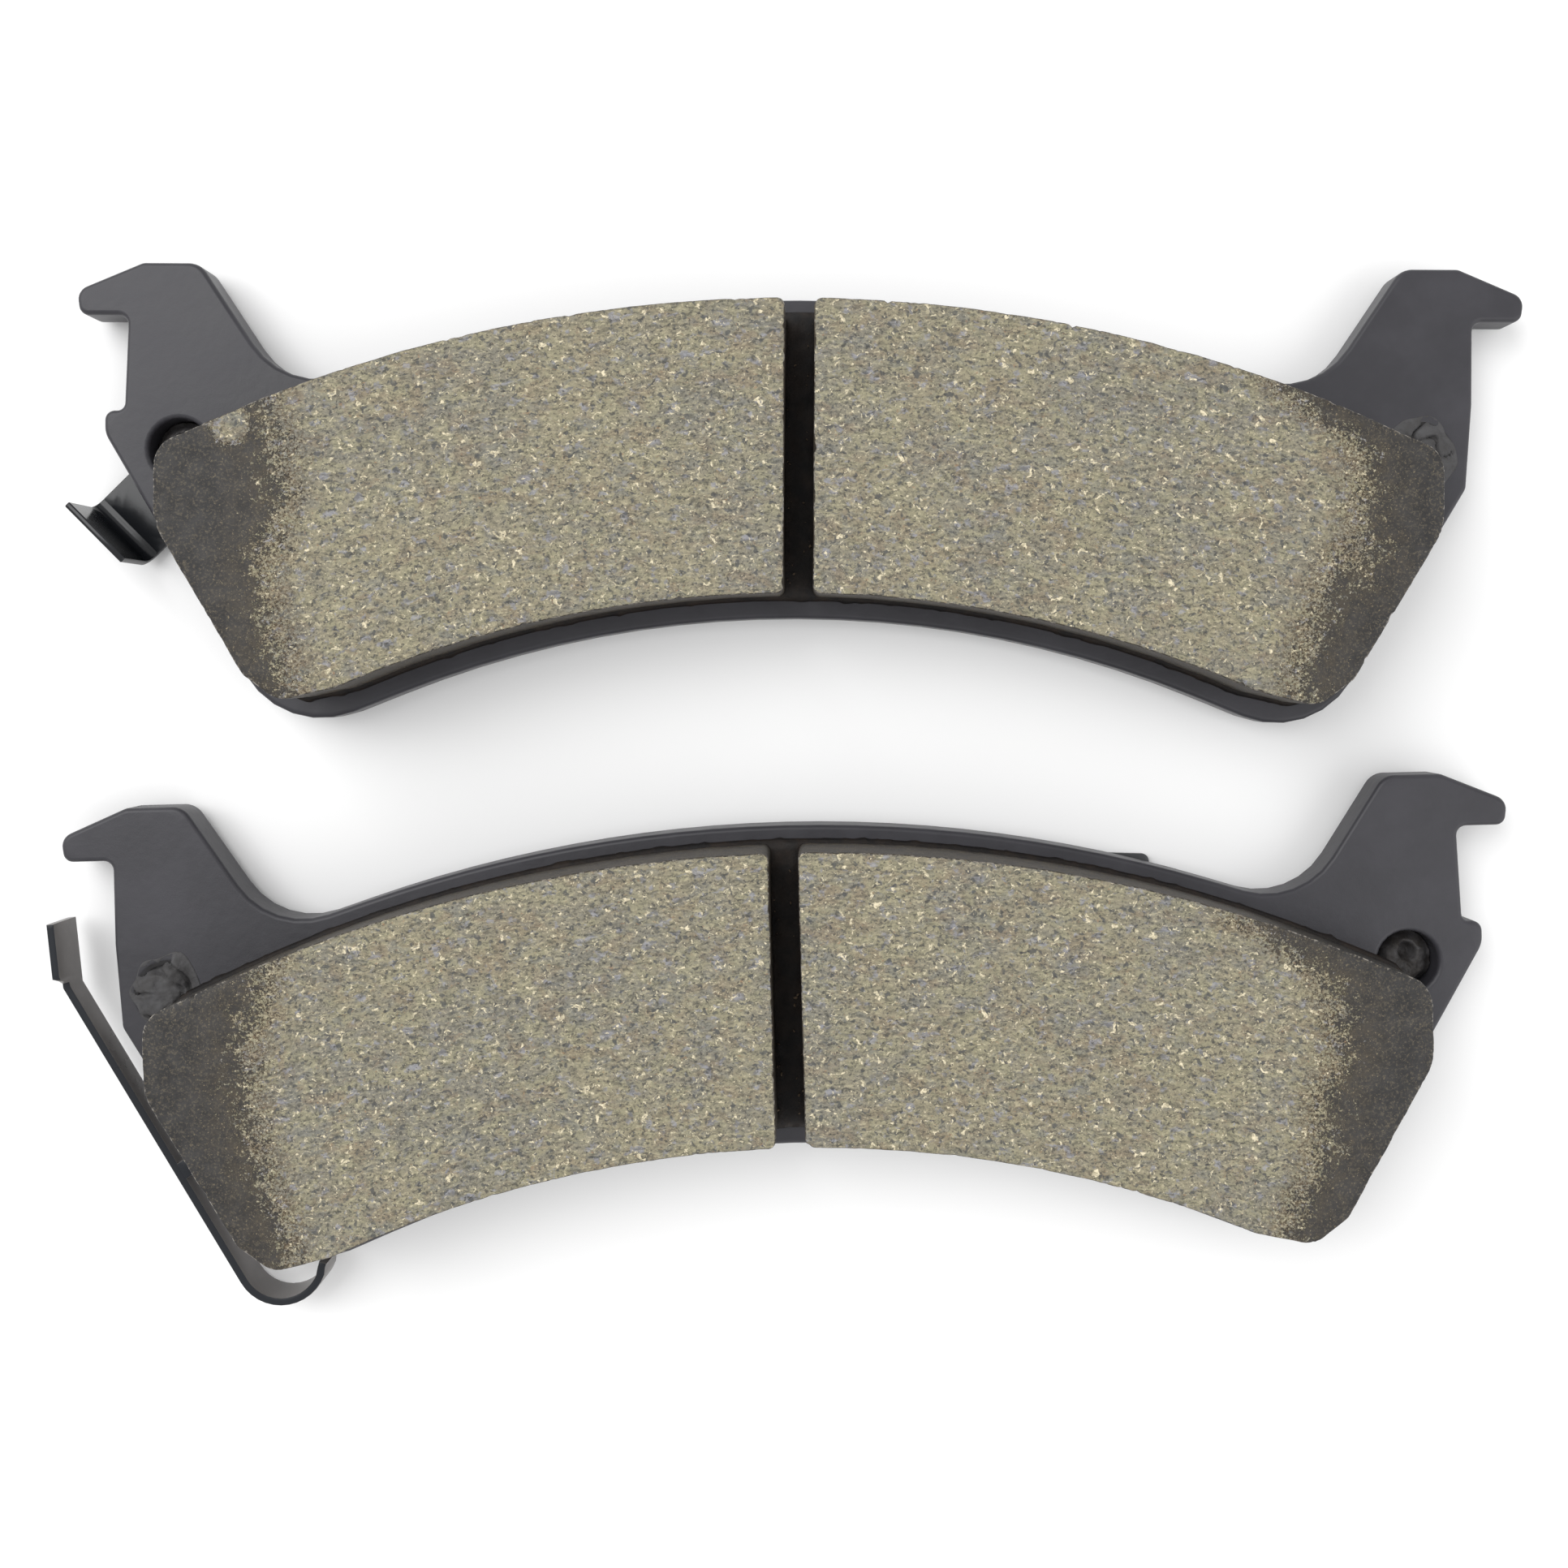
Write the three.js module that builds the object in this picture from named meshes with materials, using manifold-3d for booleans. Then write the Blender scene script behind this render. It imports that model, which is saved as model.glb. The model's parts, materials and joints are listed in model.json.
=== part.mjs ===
// A matched pair of rear disc brake pads, laid on their backs with the friction faces up.
//
// Each pad is drawn about the axle: its own x and y start at the rotor's centre, y points
// radially outwards through the pad's middle, and z = 0 is the back of the steel plate.
// The inner pad carries a wear indicator, the outer pad an anti-rattle leaf spring.
// Units are millimetres.

import * as THREE from 'three';
import { mergeVertices } from 'three/addons/utils/BufferGeometryUtils.js';
import Module from 'manifold-3d';

const wasm = await Module();
wasm.setup();

// ---------------------------------------------------------------- driving dimensions

// backing plate
const HALF_WIDTH = 82.5;              // from the middle to the tip of a hook
const PLATE_THICKNESS = 4.8;
const PLATE_INNER_R = 122.0;
const PLATE_DEPTH = 36.4;             // radially, from the inner arc to the outer arc
const SIDE_SLOPE = 59.5;              // degrees, the slanted lower sides against the chord
const SIDE_INSET = 2.45;              // from the neck in to the slanted side, at SIDE_LEVEL
const FOOT_CORNER_R = 10;
const FOOT_RUN_OUT = 12.73;           // the inner arc leaves for the foot corner this far in

// hook ears
const HOOK_RISE = 23.79;              // above the outer arc's height at the neck
const HOOK_HEIGHT = 6.0;
const HOOK_REACH = 5.65;              // out from the neck
const HOOK_TOP_WIDTH = 6.5;
const HOOK_TOP_INSET = 7.3;           // from the tip back to the top flat
const EAR_SLOPE = 56.4;               // degrees, the ear's inner edge
const EAR_BLEND_R = 9;
const EAR_RUN_OUT = 10.1;             // the outer arc leaves for the ear this far in
const NOTCH_HEIGHT = 10.9;            // under the hook, down to the lug that one end has
const LUG_REACH = 2.65;               // out from the neck
const NECK_HEIGHT = 9.5;              // on the end with no lug the side leans in from here
const NECK_DROP = 19.1;               // and meets the slanted side here
const SIDE_DROP = 22.2;               // from the hook's underside to SIDE_LEVEL

// friction material
const FRICTION_OUTER_BORDER = 2.0;    // plate left bare along the outer arc
const FRICTION_INNER_BORDER = 2.5;
const FRICTION_END_BORDER = 6.85;     // from the neck in to the block's end
const FRICTION_SIDE_DROP = 2.3;       // the slanted end begins this far below SIDE_LEVEL
const FRICTION_SIDE_SLOPE = 59;
const FRICTION_ARC_INSET = 8;         // the outer arc ends this far from the block's end
const FRICTION_TOE_INSET = 7.26;      // the inner arc ends this far from the foot
const FRICTION_FOOT_RISE = 4.8;       // the slanted end stops this far above the foot
const FRICTION_FOOT_CUT = [-1.0, 2.0];
const FRICTION_THICKNESS = 9.5;
const UNDERLAYER_THICKNESS = 1.0;
const UNDERLAYER_MARGIN = 0.4;
const SLOT_WIDTH = 3.3;
const SLOT_CORNER_R = 0.8;
const END_CHAMFER_RUN = 13;           // the unground end falls away over this length
const END_CHAMFER_DROP = 0.6;

// compound holes
const COMPOUND_HOLE_INSET = 5.95;     // from the neck
const COMPOUND_HOLE_DROP = 15.3;      // from the hook's underside
const COMPOUND_HOLE_R = 3.5;
const OPEN_PLUG_RECESS = 1.6;

// shim
const DAMPING_LAYER = 0.6;
const DAMPING_LAYER_INSET = 1.0;
const SHIM_CORE = 0.8;
const SHIM_OUTER_BORDER = 1.8;        // plate left bare along the outer arc
const SHIM_INNER_BORDER = 3.5;
const SHIM_END_BORDER = 13;           // from the block's end
const SHIM_SPRING_GAP = 1.9;          // between the outer shim and the leaf spring's foot
const SHIM_LOBE_INSET = 14.5;         // from the shim's end
const SHIM_LOBE_WIDTH = 15.5;
const SHIM_LOBE_RISE = 0.8;           // the lobe just shows past the plate's outer edge
const SHIM_RIVET_INSET = 27;          // from the shim's end
const SHIM_RIVET_SHORT_INSET = 10;    // from the end beside the leaf spring
const SHIM_RIVET_RISE = 16.0;         // from the top of the inner arc

// rivets
const RIVET_SHANK_R = 2.0;
const RIVET_HEAD_R = 3.3;
const RIVET_DEPTH = 3.0;              // of the blind holes in the plate
const SHIM_RIVET_HEAD = 0.45;

// wear indicator
const INDICATOR_SHEET = 0.7;
const INDICATOR_WIDTH = 9.0;
const INDICATOR_HEIGHT = 7.0;         // above the back of the plate
const INDICATOR_REACH = 9.95;         // from the heel in the foot to the outside of the upstand
const INDICATOR_TURN = 225;           // degrees, the way the indicator points
const INDICATOR_HEEL_INSET = [1.65, 3.95];  // from the slanted side, at SIDE_LEVEL
const INDICATOR_BEND_R = 1.1;
// the next two are measured from the heel, x the way the indicator points
const INDICATOR_RIVETS = [[1.6, 8.0], [2.2, 15.0]];
const INDICATOR_FOOT_EDGE = [-2.8, 0.5];
const INDICATOR_FOOT_END = [[-2.0, 19.5, 3], [6.8, 19.5, 3]];
const INDICATOR_SHOULDERS = [[0.9, 1.5], [4.4, 1.5]];

// leaf spring
const LEAF_SHEET = 0.9;
const LEAF_CURL_R = 4.9;
const LEAF_ROOT_ANGLE = -8;           // degrees, where the curl meets the foot
const LEAF_SLOPE = 60.4;              // degrees, the straight run
const LEAF_RUN = 39.4;
const LEAF_TAB_LENGTH = 7.6;
const LEAF_TAB_TURN = 94.8;           // degrees, the way the end tab points
const LEAF_EDGE_DROP = 0.8;           // the curl and the run stop short of the plate's front
const LEAF_RUN_BACK_Z = 0.5;
const LEAF_TAB_RISE = 1.6;            // the wider end tab stands past the plate's front
const LEAF_STOP_AT = 14.5;            // small stop along the run, from the curl
const LEAF_STOP_SIZE = [1.7, 1.1, 0.9];
// the next three are measured from the point of the plate's foot corner
const LEAF_CURL_OFFSET = [-0.15, 2.3];   // centre of the curl
const LEAF_RIVETS = [[10.7, 8.4], [12.8, 15.8]];
const LEAF_FOOT = [[5.8, 1.6, 0.5], [9.5, 3.5, 2], [15.1, 5.6, 2.5], [17.2, 19.4, 2.5], [9.1, 19.4, 2.5]];

// fits
const CLEARANCE = 0.12;               // round pieces in their holes
const GAP = 0.3;                      // between the halves of a sheet that flexes

// the pair as laid out
const PAD_PITCH = 60;                 // between the two pads, centre to centre
const OUTER_PAD_SHIFT = 3.1;
const INNER_PAD_TURN = -0.3;          // degrees
const OUTER_PAD_TURN = 1.5;

// ---------------------------------------------------------------- derived values

const radians = THREE.MathUtils.degToRad;
const PLATE_FRONT = PLATE_THICKNESS;
const PLATE_OUTER_R = PLATE_INNER_R + PLATE_DEPTH;
const BLOCK_BASE = PLATE_FRONT + UNDERLAYER_THICKNESS;
const SHIM_BACK = -(DAMPING_LAYER + SHIM_CORE);

const NECK_X = HALF_WIDTH - HOOK_REACH;
const HOOK_TOP_Y = onCircle(PLATE_OUTER_R, NECK_X) + HOOK_RISE;
const HOOK_UNDERSIDE_Y = HOOK_TOP_Y - HOOK_HEIGHT;
const LUG_TOP_Y = HOOK_UNDERSIDE_Y - NOTCH_HEIGHT;
const SIDE_LEVEL = HOOK_UNDERSIDE_Y - SIDE_DROP;
const SIDE_REACH = NECK_X - SIDE_INSET;
const SIDE_TAN = Math.tan(radians(SIDE_SLOPE));
const EAR_TAN = Math.tan(radians(EAR_SLOPE));

const FRICTION_OUTER_R = PLATE_OUTER_R - FRICTION_OUTER_BORDER;
const FRICTION_INNER_R = PLATE_INNER_R + FRICTION_INNER_BORDER;
const FRICTION_HALF_WIDTH = NECK_X - FRICTION_END_BORDER;
const FRICTION_SIDE_LEVEL = SIDE_LEVEL - FRICTION_SIDE_DROP;
const FRICTION_SIDE_TAN = Math.tan(radians(FRICTION_SIDE_SLOPE));

const COMPOUND_HOLE_X = NECK_X - COMPOUND_HOLE_INSET;
const COMPOUND_HOLE_Y = HOOK_UNDERSIDE_Y - COMPOUND_HOLE_DROP;

const SHIM_OUTER_R = PLATE_OUTER_R - SHIM_OUTER_BORDER;
const SHIM_INNER_R = PLATE_INNER_R + SHIM_INNER_BORDER;
const SHIM_END_X = FRICTION_HALF_WIDTH - SHIM_END_BORDER;
const SHIM_RIVET_X = SHIM_END_X - SHIM_RIVET_INSET;
const SHIM_RIVET_Y = PLATE_INNER_R + SHIM_RIVET_RISE;

const INDICATOR_HEEL = [INDICATOR_HEEL_INSET[0] - SIDE_REACH, SIDE_LEVEL + INDICATOR_HEEL_INSET[1]];
const LEAF_EDGE_Z = PLATE_FRONT - LEAF_EDGE_DROP;
const LEAF_TAB_Z = PLATE_FRONT + LEAF_TAB_RISE;

// ---------------------------------------------------------------- materials

const steelCoat = new THREE.MeshStandardMaterial({ color: 0x1d1d20, roughness: 0.42, metalness: 0.1 });
const compound = new THREE.MeshStandardMaterial({ color: 0x6f6a58, roughness: 0.9, metalness: 0.0 });
const darkCompound = new THREE.MeshStandardMaterial({ color: 0x1b1a19, roughness: 0.85, metalness: 0.0 });
const rubber = new THREE.MeshStandardMaterial({ color: 0x121212, roughness: 0.8, metalness: 0.0 });
const springSteel = new THREE.MeshStandardMaterial({ color: 0x16181b, roughness: 0.35, metalness: 0.2 });
const zincSteel = new THREE.MeshStandardMaterial({ color: 0x8b8d90, roughness: 0.4, metalness: 0.9 });

// ---------------------------------------------------------------- geometry helpers

function onCircle(radius, x) {
  return Math.sqrt(radius * radius - x * x);
}

// points along a circle about the axle, from one x to another
function arcAboutAxle(radius, fromX, toX, steps = 20) {
  const from = Math.asin(fromX / radius);
  const to = Math.asin(toX / radius);
  const points = [];
  for (let i = 0; i <= steps; i++) {
    const angle = from + (to - from) * i / steps;
    points.push([radius * Math.sin(angle), radius * Math.cos(angle), 0]);
  }
  return points;
}

// where the tangent of a circle about the axle, taken at tangentX, meets a line of slope
// `rise` through `point`
function tangentMeets(radius, tangentX, point, rise) {
  const tangentY = onCircle(radius, tangentX);
  const tangentRise = -tangentX / tangentY;
  const x = (point[1] - rise * point[0] - tangentY + tangentRise * tangentX) / (tangentRise - rise);
  return [x, point[1] + rise * (x - point[0])];
}

// where a line of slope `rise` through `point` crosses a circle about the axle, nearest to `point`
function lineMeets(radius, point, rise) {
  const a = 1 + rise * rise;
  const half = point[0] + rise * point[1];
  const c = point[0] ** 2 + point[1] ** 2 - radius * radius;
  const root = Math.sqrt(half * half - a * c);
  const step = c / (-half - Math.sign(half) * root);
  return [point[0] + step, point[1] + rise * step];
}

// a closed shape from corners [x, y, radius], each corner rounded with its own arc
function roundedShape(corners, steps = 6) {
  const points = [];
  const count = corners.length;
  for (let i = 0; i < count; i++) {
    const [x, y, radius] = corners[i];
    const corner = new THREE.Vector2(x, y);
    if (!radius) {
      points.push(corner);
      continue;
    }
    const before = corners[(i + count - 1) % count];
    const after = corners[(i + 1) % count];
    const back = new THREE.Vector2(before[0], before[1]).sub(corner).normalize();
    const ahead = new THREE.Vector2(after[0], after[1]).sub(corner).normalize();
    const half = Math.acos(THREE.MathUtils.clamp(back.dot(ahead), -1, 1)) / 2;
    const reach = radius / Math.tan(half);
    const centre = back.clone().add(ahead).normalize().multiplyScalar(radius / Math.sin(half)).add(corner);
    const start = back.multiplyScalar(reach).add(corner).sub(centre).angle();
    let sweep = ahead.multiplyScalar(reach).add(corner).sub(centre).angle() - start;
    sweep -= 2 * Math.PI * Math.round(sweep / (2 * Math.PI));
    for (let k = 0; k <= steps; k++) {
      const angle = start + sweep * k / steps;
      points.push(new THREE.Vector2(radius * Math.cos(angle), radius * Math.sin(angle)).add(centre));
    }
  }
  return new THREE.Shape(THREE.ShapeUtils.isClockWise(points) ? points.reverse() : points);
}

function roundHole(x, y, radius, steps = 28) {
  const points = [];
  for (let i = 0; i < steps; i++) {
    const angle = -2 * Math.PI * i / steps;
    points.push(new THREE.Vector2(x + radius * Math.cos(angle), y + radius * Math.sin(angle)));
  }
  return new THREE.Path(points);
}

function slab(shape, fromZ, toZ) {
  const geometry = new THREE.ExtrudeGeometry(shape, { depth: toZ - fromZ, bevelEnabled: false });
  geometry.translate(0, 0, fromZ);
  return geometry;
}

function pin(x, y, radius, fromZ, toZ) {
  const geometry = new THREE.CylinderGeometry(radius, radius, toZ - fromZ, 28);
  geometry.rotateX(Math.PI / 2);
  geometry.translate(x, y, (fromZ + toZ) / 2);
  return geometry;
}

function toSolid(geometry) {
  const bare = geometry.clone();
  bare.deleteAttribute('normal');
  bare.deleteAttribute('uv');
  const merged = mergeVertices(bare, 1e-5);
  const mesh = new wasm.Mesh({
    numProp: 3,
    vertProperties: new Float32Array(merged.attributes.position.array),
    triVerts: new Uint32Array(merged.index.array),
  });
  return new wasm.Manifold(mesh);
}

function toGeometry(solid) {
  const mesh = solid.getMesh();
  const geometry = new THREE.BufferGeometry();
  geometry.setAttribute('position', new THREE.BufferAttribute(new Float32Array(mesh.vertProperties), 3));
  geometry.setIndex(new THREE.BufferAttribute(new Uint32Array(mesh.triVerts), 1));
  const flat = geometry.toNonIndexed();
  flat.computeVertexNormals();
  return flat;
}

function cut(geometry, tools) {
  let solid = toSolid(geometry);
  for (const tool of tools) {
    solid = solid.subtract(toSolid(tool));
  }
  return toGeometry(solid);
}

function join(geometries) {
  let solid = toSolid(geometries[0]);
  for (const geometry of geometries.slice(1)) {
    solid = solid.add(toSolid(geometry));
  }
  return toGeometry(solid);
}

function piece(name, geometry, material) {
  const mesh = new THREE.Mesh(geometry, material);
  mesh.name = name;
  return mesh;
}

// the same corners on the -x side, walked the other way
function mirrored(corners) {
  return corners.map(([x, y, radius]) => [-x, y, radius]).reverse();
}

// ---------------------------------------------------------------- rivets

// a rivet from its head's outer face up into the plate's blind hole
function rivet(name, [x, y], headBack, headFront) {
  const shoulder = headBack + (headFront - headBack) * 0.6;
  const profile = [
    new THREE.Vector2(0, headBack),
    new THREE.Vector2(RIVET_HEAD_R * 0.8, headBack),
    new THREE.Vector2(RIVET_HEAD_R, shoulder),
    new THREE.Vector2(RIVET_HEAD_R, headFront),
    new THREE.Vector2(RIVET_SHANK_R, headFront),
    new THREE.Vector2(RIVET_SHANK_R, RIVET_DEPTH - GAP),
    new THREE.Vector2(0, RIVET_DEPTH - GAP),
  ];
  const geometry = new THREE.LatheGeometry(profile, 28);
  geometry.rotateX(Math.PI / 2);
  geometry.translate(x, y, 0);
  return piece(name, geometry, zincSteel);
}

function rivetHole([x, y]) {
  return roundHole(x, y, RIVET_SHANK_R + CLEARANCE);
}

// ---------------------------------------------------------------- backing plate

// the ear's inner top corner, the point of the foot corner, and where the arcs leave for them
const EAR_TOP = [HALF_WIDTH - HOOK_TOP_INSET - HOOK_TOP_WIDTH, HOOK_TOP_Y];
const VALLEY_X = lineMeets(PLATE_OUTER_R, EAR_TOP, EAR_TAN)[0] - EAR_RUN_OUT;
const FOOT_X = lineMeets(PLATE_INNER_R, [SIDE_REACH, SIDE_LEVEL], SIDE_TAN)[0] - FOOT_RUN_OUT;
const FOOT_CORNER = tangentMeets(PLATE_INNER_R, FOOT_X, [SIDE_REACH, SIDE_LEVEL], SIDE_TAN);

// one end of the plate, on the +x side, from the outer arc round to the inner arc
function plateEnd(hasLug) {
  const valley = tangentMeets(PLATE_OUTER_R, VALLEY_X, EAR_TOP, EAR_TAN);
  const hook = [
    [...valley, EAR_BLEND_R],
    [...EAR_TOP, 2.4],
    [HALF_WIDTH - HOOK_TOP_INSET, HOOK_TOP_Y, 1.5],
    [HALF_WIDTH + 0.3, HOOK_UNDERSIDE_Y + 2.8, 1.6],
    [HALF_WIDTH - 0.1, HOOK_UNDERSIDE_Y, 1.1],
    [NECK_X, HOOK_UNDERSIDE_Y, 1.1],
  ];
  const lugX = NECK_X + LUG_REACH;
  const lug = [
    [NECK_X + 0.4, LUG_TOP_Y, 0.9],
    [lugX, LUG_TOP_Y, 1.1],
    [lugX, SIDE_LEVEL + (lugX - SIDE_REACH) * SIDE_TAN, 3],
  ];
  const neckEndY = HOOK_UNDERSIDE_Y - NECK_DROP;
  const plain = [
    [NECK_X, HOOK_UNDERSIDE_Y - NECK_HEIGHT, 4],
    [SIDE_REACH + (neckEndY - SIDE_LEVEL) / SIDE_TAN, neckEndY, 1.5],
  ];
  return [...hook, ...(hasLug ? lug : plain), [...FOOT_CORNER, FOOT_CORNER_R]];
}

// the lug is on the +x end when lugSide is 1, and on the -x end when it is -1
function backingPlate(name, lugSide, rivetsAt) {
  const outline = roundedShape([
    ...arcAboutAxle(PLATE_OUTER_R, -VALLEY_X, VALLEY_X, 24),
    ...plateEnd(lugSide === 1),
    ...arcAboutAxle(PLATE_INNER_R, FOOT_X, -FOOT_X, 20),
    ...mirrored(plateEnd(lugSide === -1)),
  ]);
  for (const side of [-1, 1]) {
    outline.holes.push(roundHole(side * COMPOUND_HOLE_X, COMPOUND_HOLE_Y, COMPOUND_HOLE_R));
  }
  const blindHoles = rivetsAt.map(([x, y]) => pin(x, y, RIVET_SHANK_R + CLEARANCE, -1, RIVET_DEPTH));
  return piece(name, cut(slab(outline, 0, PLATE_FRONT), blindHoles), steelCoat);
}

// ---------------------------------------------------------------- friction material

const FRICTION_ARC_X = FRICTION_HALF_WIDTH - FRICTION_ARC_INSET;
const FRICTION_SIDE_TOP = [FRICTION_HALF_WIDTH, FRICTION_SIDE_LEVEL];
const FRICTION_TIP = lineMeets(FRICTION_INNER_R, FRICTION_SIDE_TOP, FRICTION_SIDE_TAN);
const FRICTION_TOE_X = FRICTION_TIP[0] - FRICTION_TOE_INSET;

// one end of the friction outline, on the +x side, grown outwards by `margin`
function frictionEnd(margin) {
  const reach = FRICTION_HALF_WIDTH + margin;
  const outer = FRICTION_OUTER_R + margin;
  const arcY = onCircle(outer, FRICTION_ARC_X);
  const shoulderY = arcY - (reach - FRICTION_ARC_X) * FRICTION_ARC_X / arcY;
  const footY = FRICTION_TIP[1] + FRICTION_FOOT_RISE;
  const cutX = FRICTION_TIP[0] + FRICTION_FOOT_CUT[0] + margin;
  return [
    [reach, shoulderY, 3.2],
    [reach, FRICTION_SIDE_LEVEL, 6],
    [reach - (FRICTION_SIDE_LEVEL - footY) / FRICTION_SIDE_TAN, footY, 2],
    [cutX, FRICTION_TIP[1] + FRICTION_FOOT_CUT[1] - margin, 3],
  ];
}

function underlayer(name) {
  const outline = roundedShape([
    ...arcAboutAxle(FRICTION_OUTER_R + UNDERLAYER_MARGIN, -FRICTION_ARC_X, FRICTION_ARC_X, 24),
    ...frictionEnd(UNDERLAYER_MARGIN),
    ...arcAboutAxle(FRICTION_INNER_R - UNDERLAYER_MARGIN, FRICTION_TOE_X, -FRICTION_TOE_X, 20),
    ...mirrored(frictionEnd(UNDERLAYER_MARGIN)),
  ]);
  return piece(name, slab(outline, PLATE_FRONT, BLOCK_BASE), darkCompound);
}

// one block: side is 1 for the +x half and -1 for the -x half
function frictionBlock(name, side) {
  const slotX = SLOT_WIDTH / 2;
  const inside = slotX + 2 * SLOT_CORNER_R;
  const top = BLOCK_BASE + FRICTION_THICKNESS;
  const half = [
    [slotX, onCircle(FRICTION_OUTER_R, slotX), SLOT_CORNER_R],
    ...arcAboutAxle(FRICTION_OUTER_R, inside, FRICTION_ARC_X, 12),
    ...frictionEnd(0),
    ...arcAboutAxle(FRICTION_INNER_R, FRICTION_TOE_X, inside, 10),
    [slotX, onCircle(FRICTION_INNER_R, slotX), SLOT_CORNER_R],
  ];
  const outline = roundedShape(side === 1 ? half : mirrored(half), 5);
  const wedge = new THREE.BoxGeometry(3 * END_CHAMFER_RUN, 3 * PLATE_DEPTH, FRICTION_THICKNESS);
  wedge.translate(side * 1.5 * END_CHAMFER_RUN, 0, FRICTION_THICKNESS / 2);
  wedge.rotateY(side * Math.atan2(END_CHAMFER_DROP, END_CHAMFER_RUN));
  wedge.translate(side * (FRICTION_HALF_WIDTH - END_CHAMFER_RUN), FRICTION_SIDE_LEVEL, top);
  return piece(name, cut(slab(outline, BLOCK_BASE, top), [wedge]), compound);
}

// compound pressed into the plate's hole; the open one stops short of the front face
function compoundPlug(name, side, recess) {
  const radius = COMPOUND_HOLE_R - CLEARANCE;
  const geometry = pin(side * COMPOUND_HOLE_X, COMPOUND_HOLE_Y, radius, 0, PLATE_FRONT - recess);
  return piece(name, geometry, darkCompound);
}

// ---------------------------------------------------------------- shim and its rivets

function shimUpperEdge(outer, left, right, hasLobe) {
  if (!hasLobe) {
    return arcAboutAxle(outer, left + 6, right - 6, 20);
  }
  const lobeTo = right - SHIM_LOBE_INSET;
  const lobeFrom = lobeTo - SHIM_LOBE_WIDTH;
  return [
    ...arcAboutAxle(outer, left + 6, lobeFrom, 14),
    [lobeTo, onCircle(PLATE_OUTER_R + SHIM_LOBE_RISE, lobeTo), 0.8],
    ...arcAboutAxle(outer, lobeTo + 0.4, right - 6, 4),
  ];
}

function shimOutline(left, right, hasLobe, margin) {
  const outer = SHIM_OUTER_R - margin;
  const inner = SHIM_INNER_R + margin;
  return roundedShape([
    ...shimUpperEdge(outer, left, right, hasLobe),
    [right - margin, onCircle(outer, right), 3],
    [right - 4 - margin, onCircle(inner, right - 4), 3],
    ...arcAboutAxle(inner, right - 9, left + 9, 18),
    [left + 4 + margin, onCircle(inner, left + 4), 3],
    [left + margin, onCircle(outer, left), 3],
  ]);
}

function shim(prefix, left, right, rivetsAt, hasLobe) {
  const layer = shimOutline(left, right, false, DAMPING_LAYER_INSET);
  const core = shimOutline(left, right, hasLobe, 0);
  layer.holes.push(...rivetsAt.map(rivetHole));
  core.holes.push(...rivetsAt.map(rivetHole));
  const headFront = SHIM_BACK + SHIM_RIVET_HEAD;
  const sinks = rivetsAt.map(([x, y]) => pin(x, y, RIVET_HEAD_R + CLEARANCE, SHIM_BACK - 1, headFront));
  return [
    piece(`${prefix}_shim_damping_layer`, slab(layer, -DAMPING_LAYER, 0), rubber),
    piece(`${prefix}_shim_core`, cut(slab(core, SHIM_BACK, -DAMPING_LAYER), sinks), steelCoat),
    rivet(`${prefix}_shim_rivet_left`, rivetsAt[0], SHIM_BACK, headFront),
    rivet(`${prefix}_shim_rivet_right`, rivetsAt[1], SHIM_BACK, headFront),
  ];
}

// ---------------------------------------------------------------- wear indicator

// drawn pointing along +x from its heel, then turned and moved into place
function placeIndicator(geometry) {
  geometry.rotateZ(radians(INDICATOR_TURN));
  geometry.translate(INDICATOR_HEEL[0], INDICATOR_HEEL[1], 0);
  return geometry;
}

function indicatorFoot(bendStart) {
  const half = INDICATOR_WIDTH / 2;
  const outline = roundedShape([
    [bendStart - GAP, -half, 0],
    [INDICATOR_SHOULDERS[0][0], -half, INDICATOR_SHOULDERS[0][1]],
    [INDICATOR_FOOT_EDGE[0], half + INDICATOR_FOOT_EDGE[1], 2.5],
    ...INDICATOR_FOOT_END,
    [INDICATOR_SHOULDERS[1][0], half, INDICATOR_SHOULDERS[1][1]],
    [bendStart - GAP, half, 0],
  ]);
  outline.holes.push(...INDICATOR_RIVETS.map(rivetHole));
  return placeIndicator(slab(outline, -INDICATOR_SHEET, 0));
}

// where the indicator's rivets come on the pad
function indicatorRivetsOnPad() {
  const turn = radians(INDICATOR_TURN);
  return INDICATOR_RIVETS.map(([x, y]) => [
    INDICATOR_HEEL[0] + x * Math.cos(turn) - y * Math.sin(turn),
    INDICATOR_HEEL[1] + x * Math.sin(turn) + y * Math.cos(turn),
  ]);
}

// the tab's profile has x along the reach and y upwards: a bend and an upstand
function indicatorTab(bendStart) {
  const upstand = INDICATOR_REACH - INDICATOR_SHEET;
  const profile = new THREE.Shape();
  profile.moveTo(bendStart, -INDICATOR_SHEET);
  profile.absarc(bendStart, INDICATOR_BEND_R, INDICATOR_BEND_R + INDICATOR_SHEET, -Math.PI / 2, 0, false);
  profile.lineTo(INDICATOR_REACH, INDICATOR_HEIGHT);
  profile.lineTo(upstand, INDICATOR_HEIGHT);
  profile.absarc(bendStart, INDICATOR_BEND_R, INDICATOR_BEND_R, 0, -Math.PI / 2, true);
  const settings = { depth: INDICATOR_WIDTH, bevelEnabled: false, curveSegments: 5 };
  const tab = new THREE.ExtrudeGeometry(profile, settings);
  tab.rotateX(Math.PI / 2);
  tab.translate(0, INDICATOR_WIDTH / 2, 0);
  return placeIndicator(tab);
}

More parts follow.
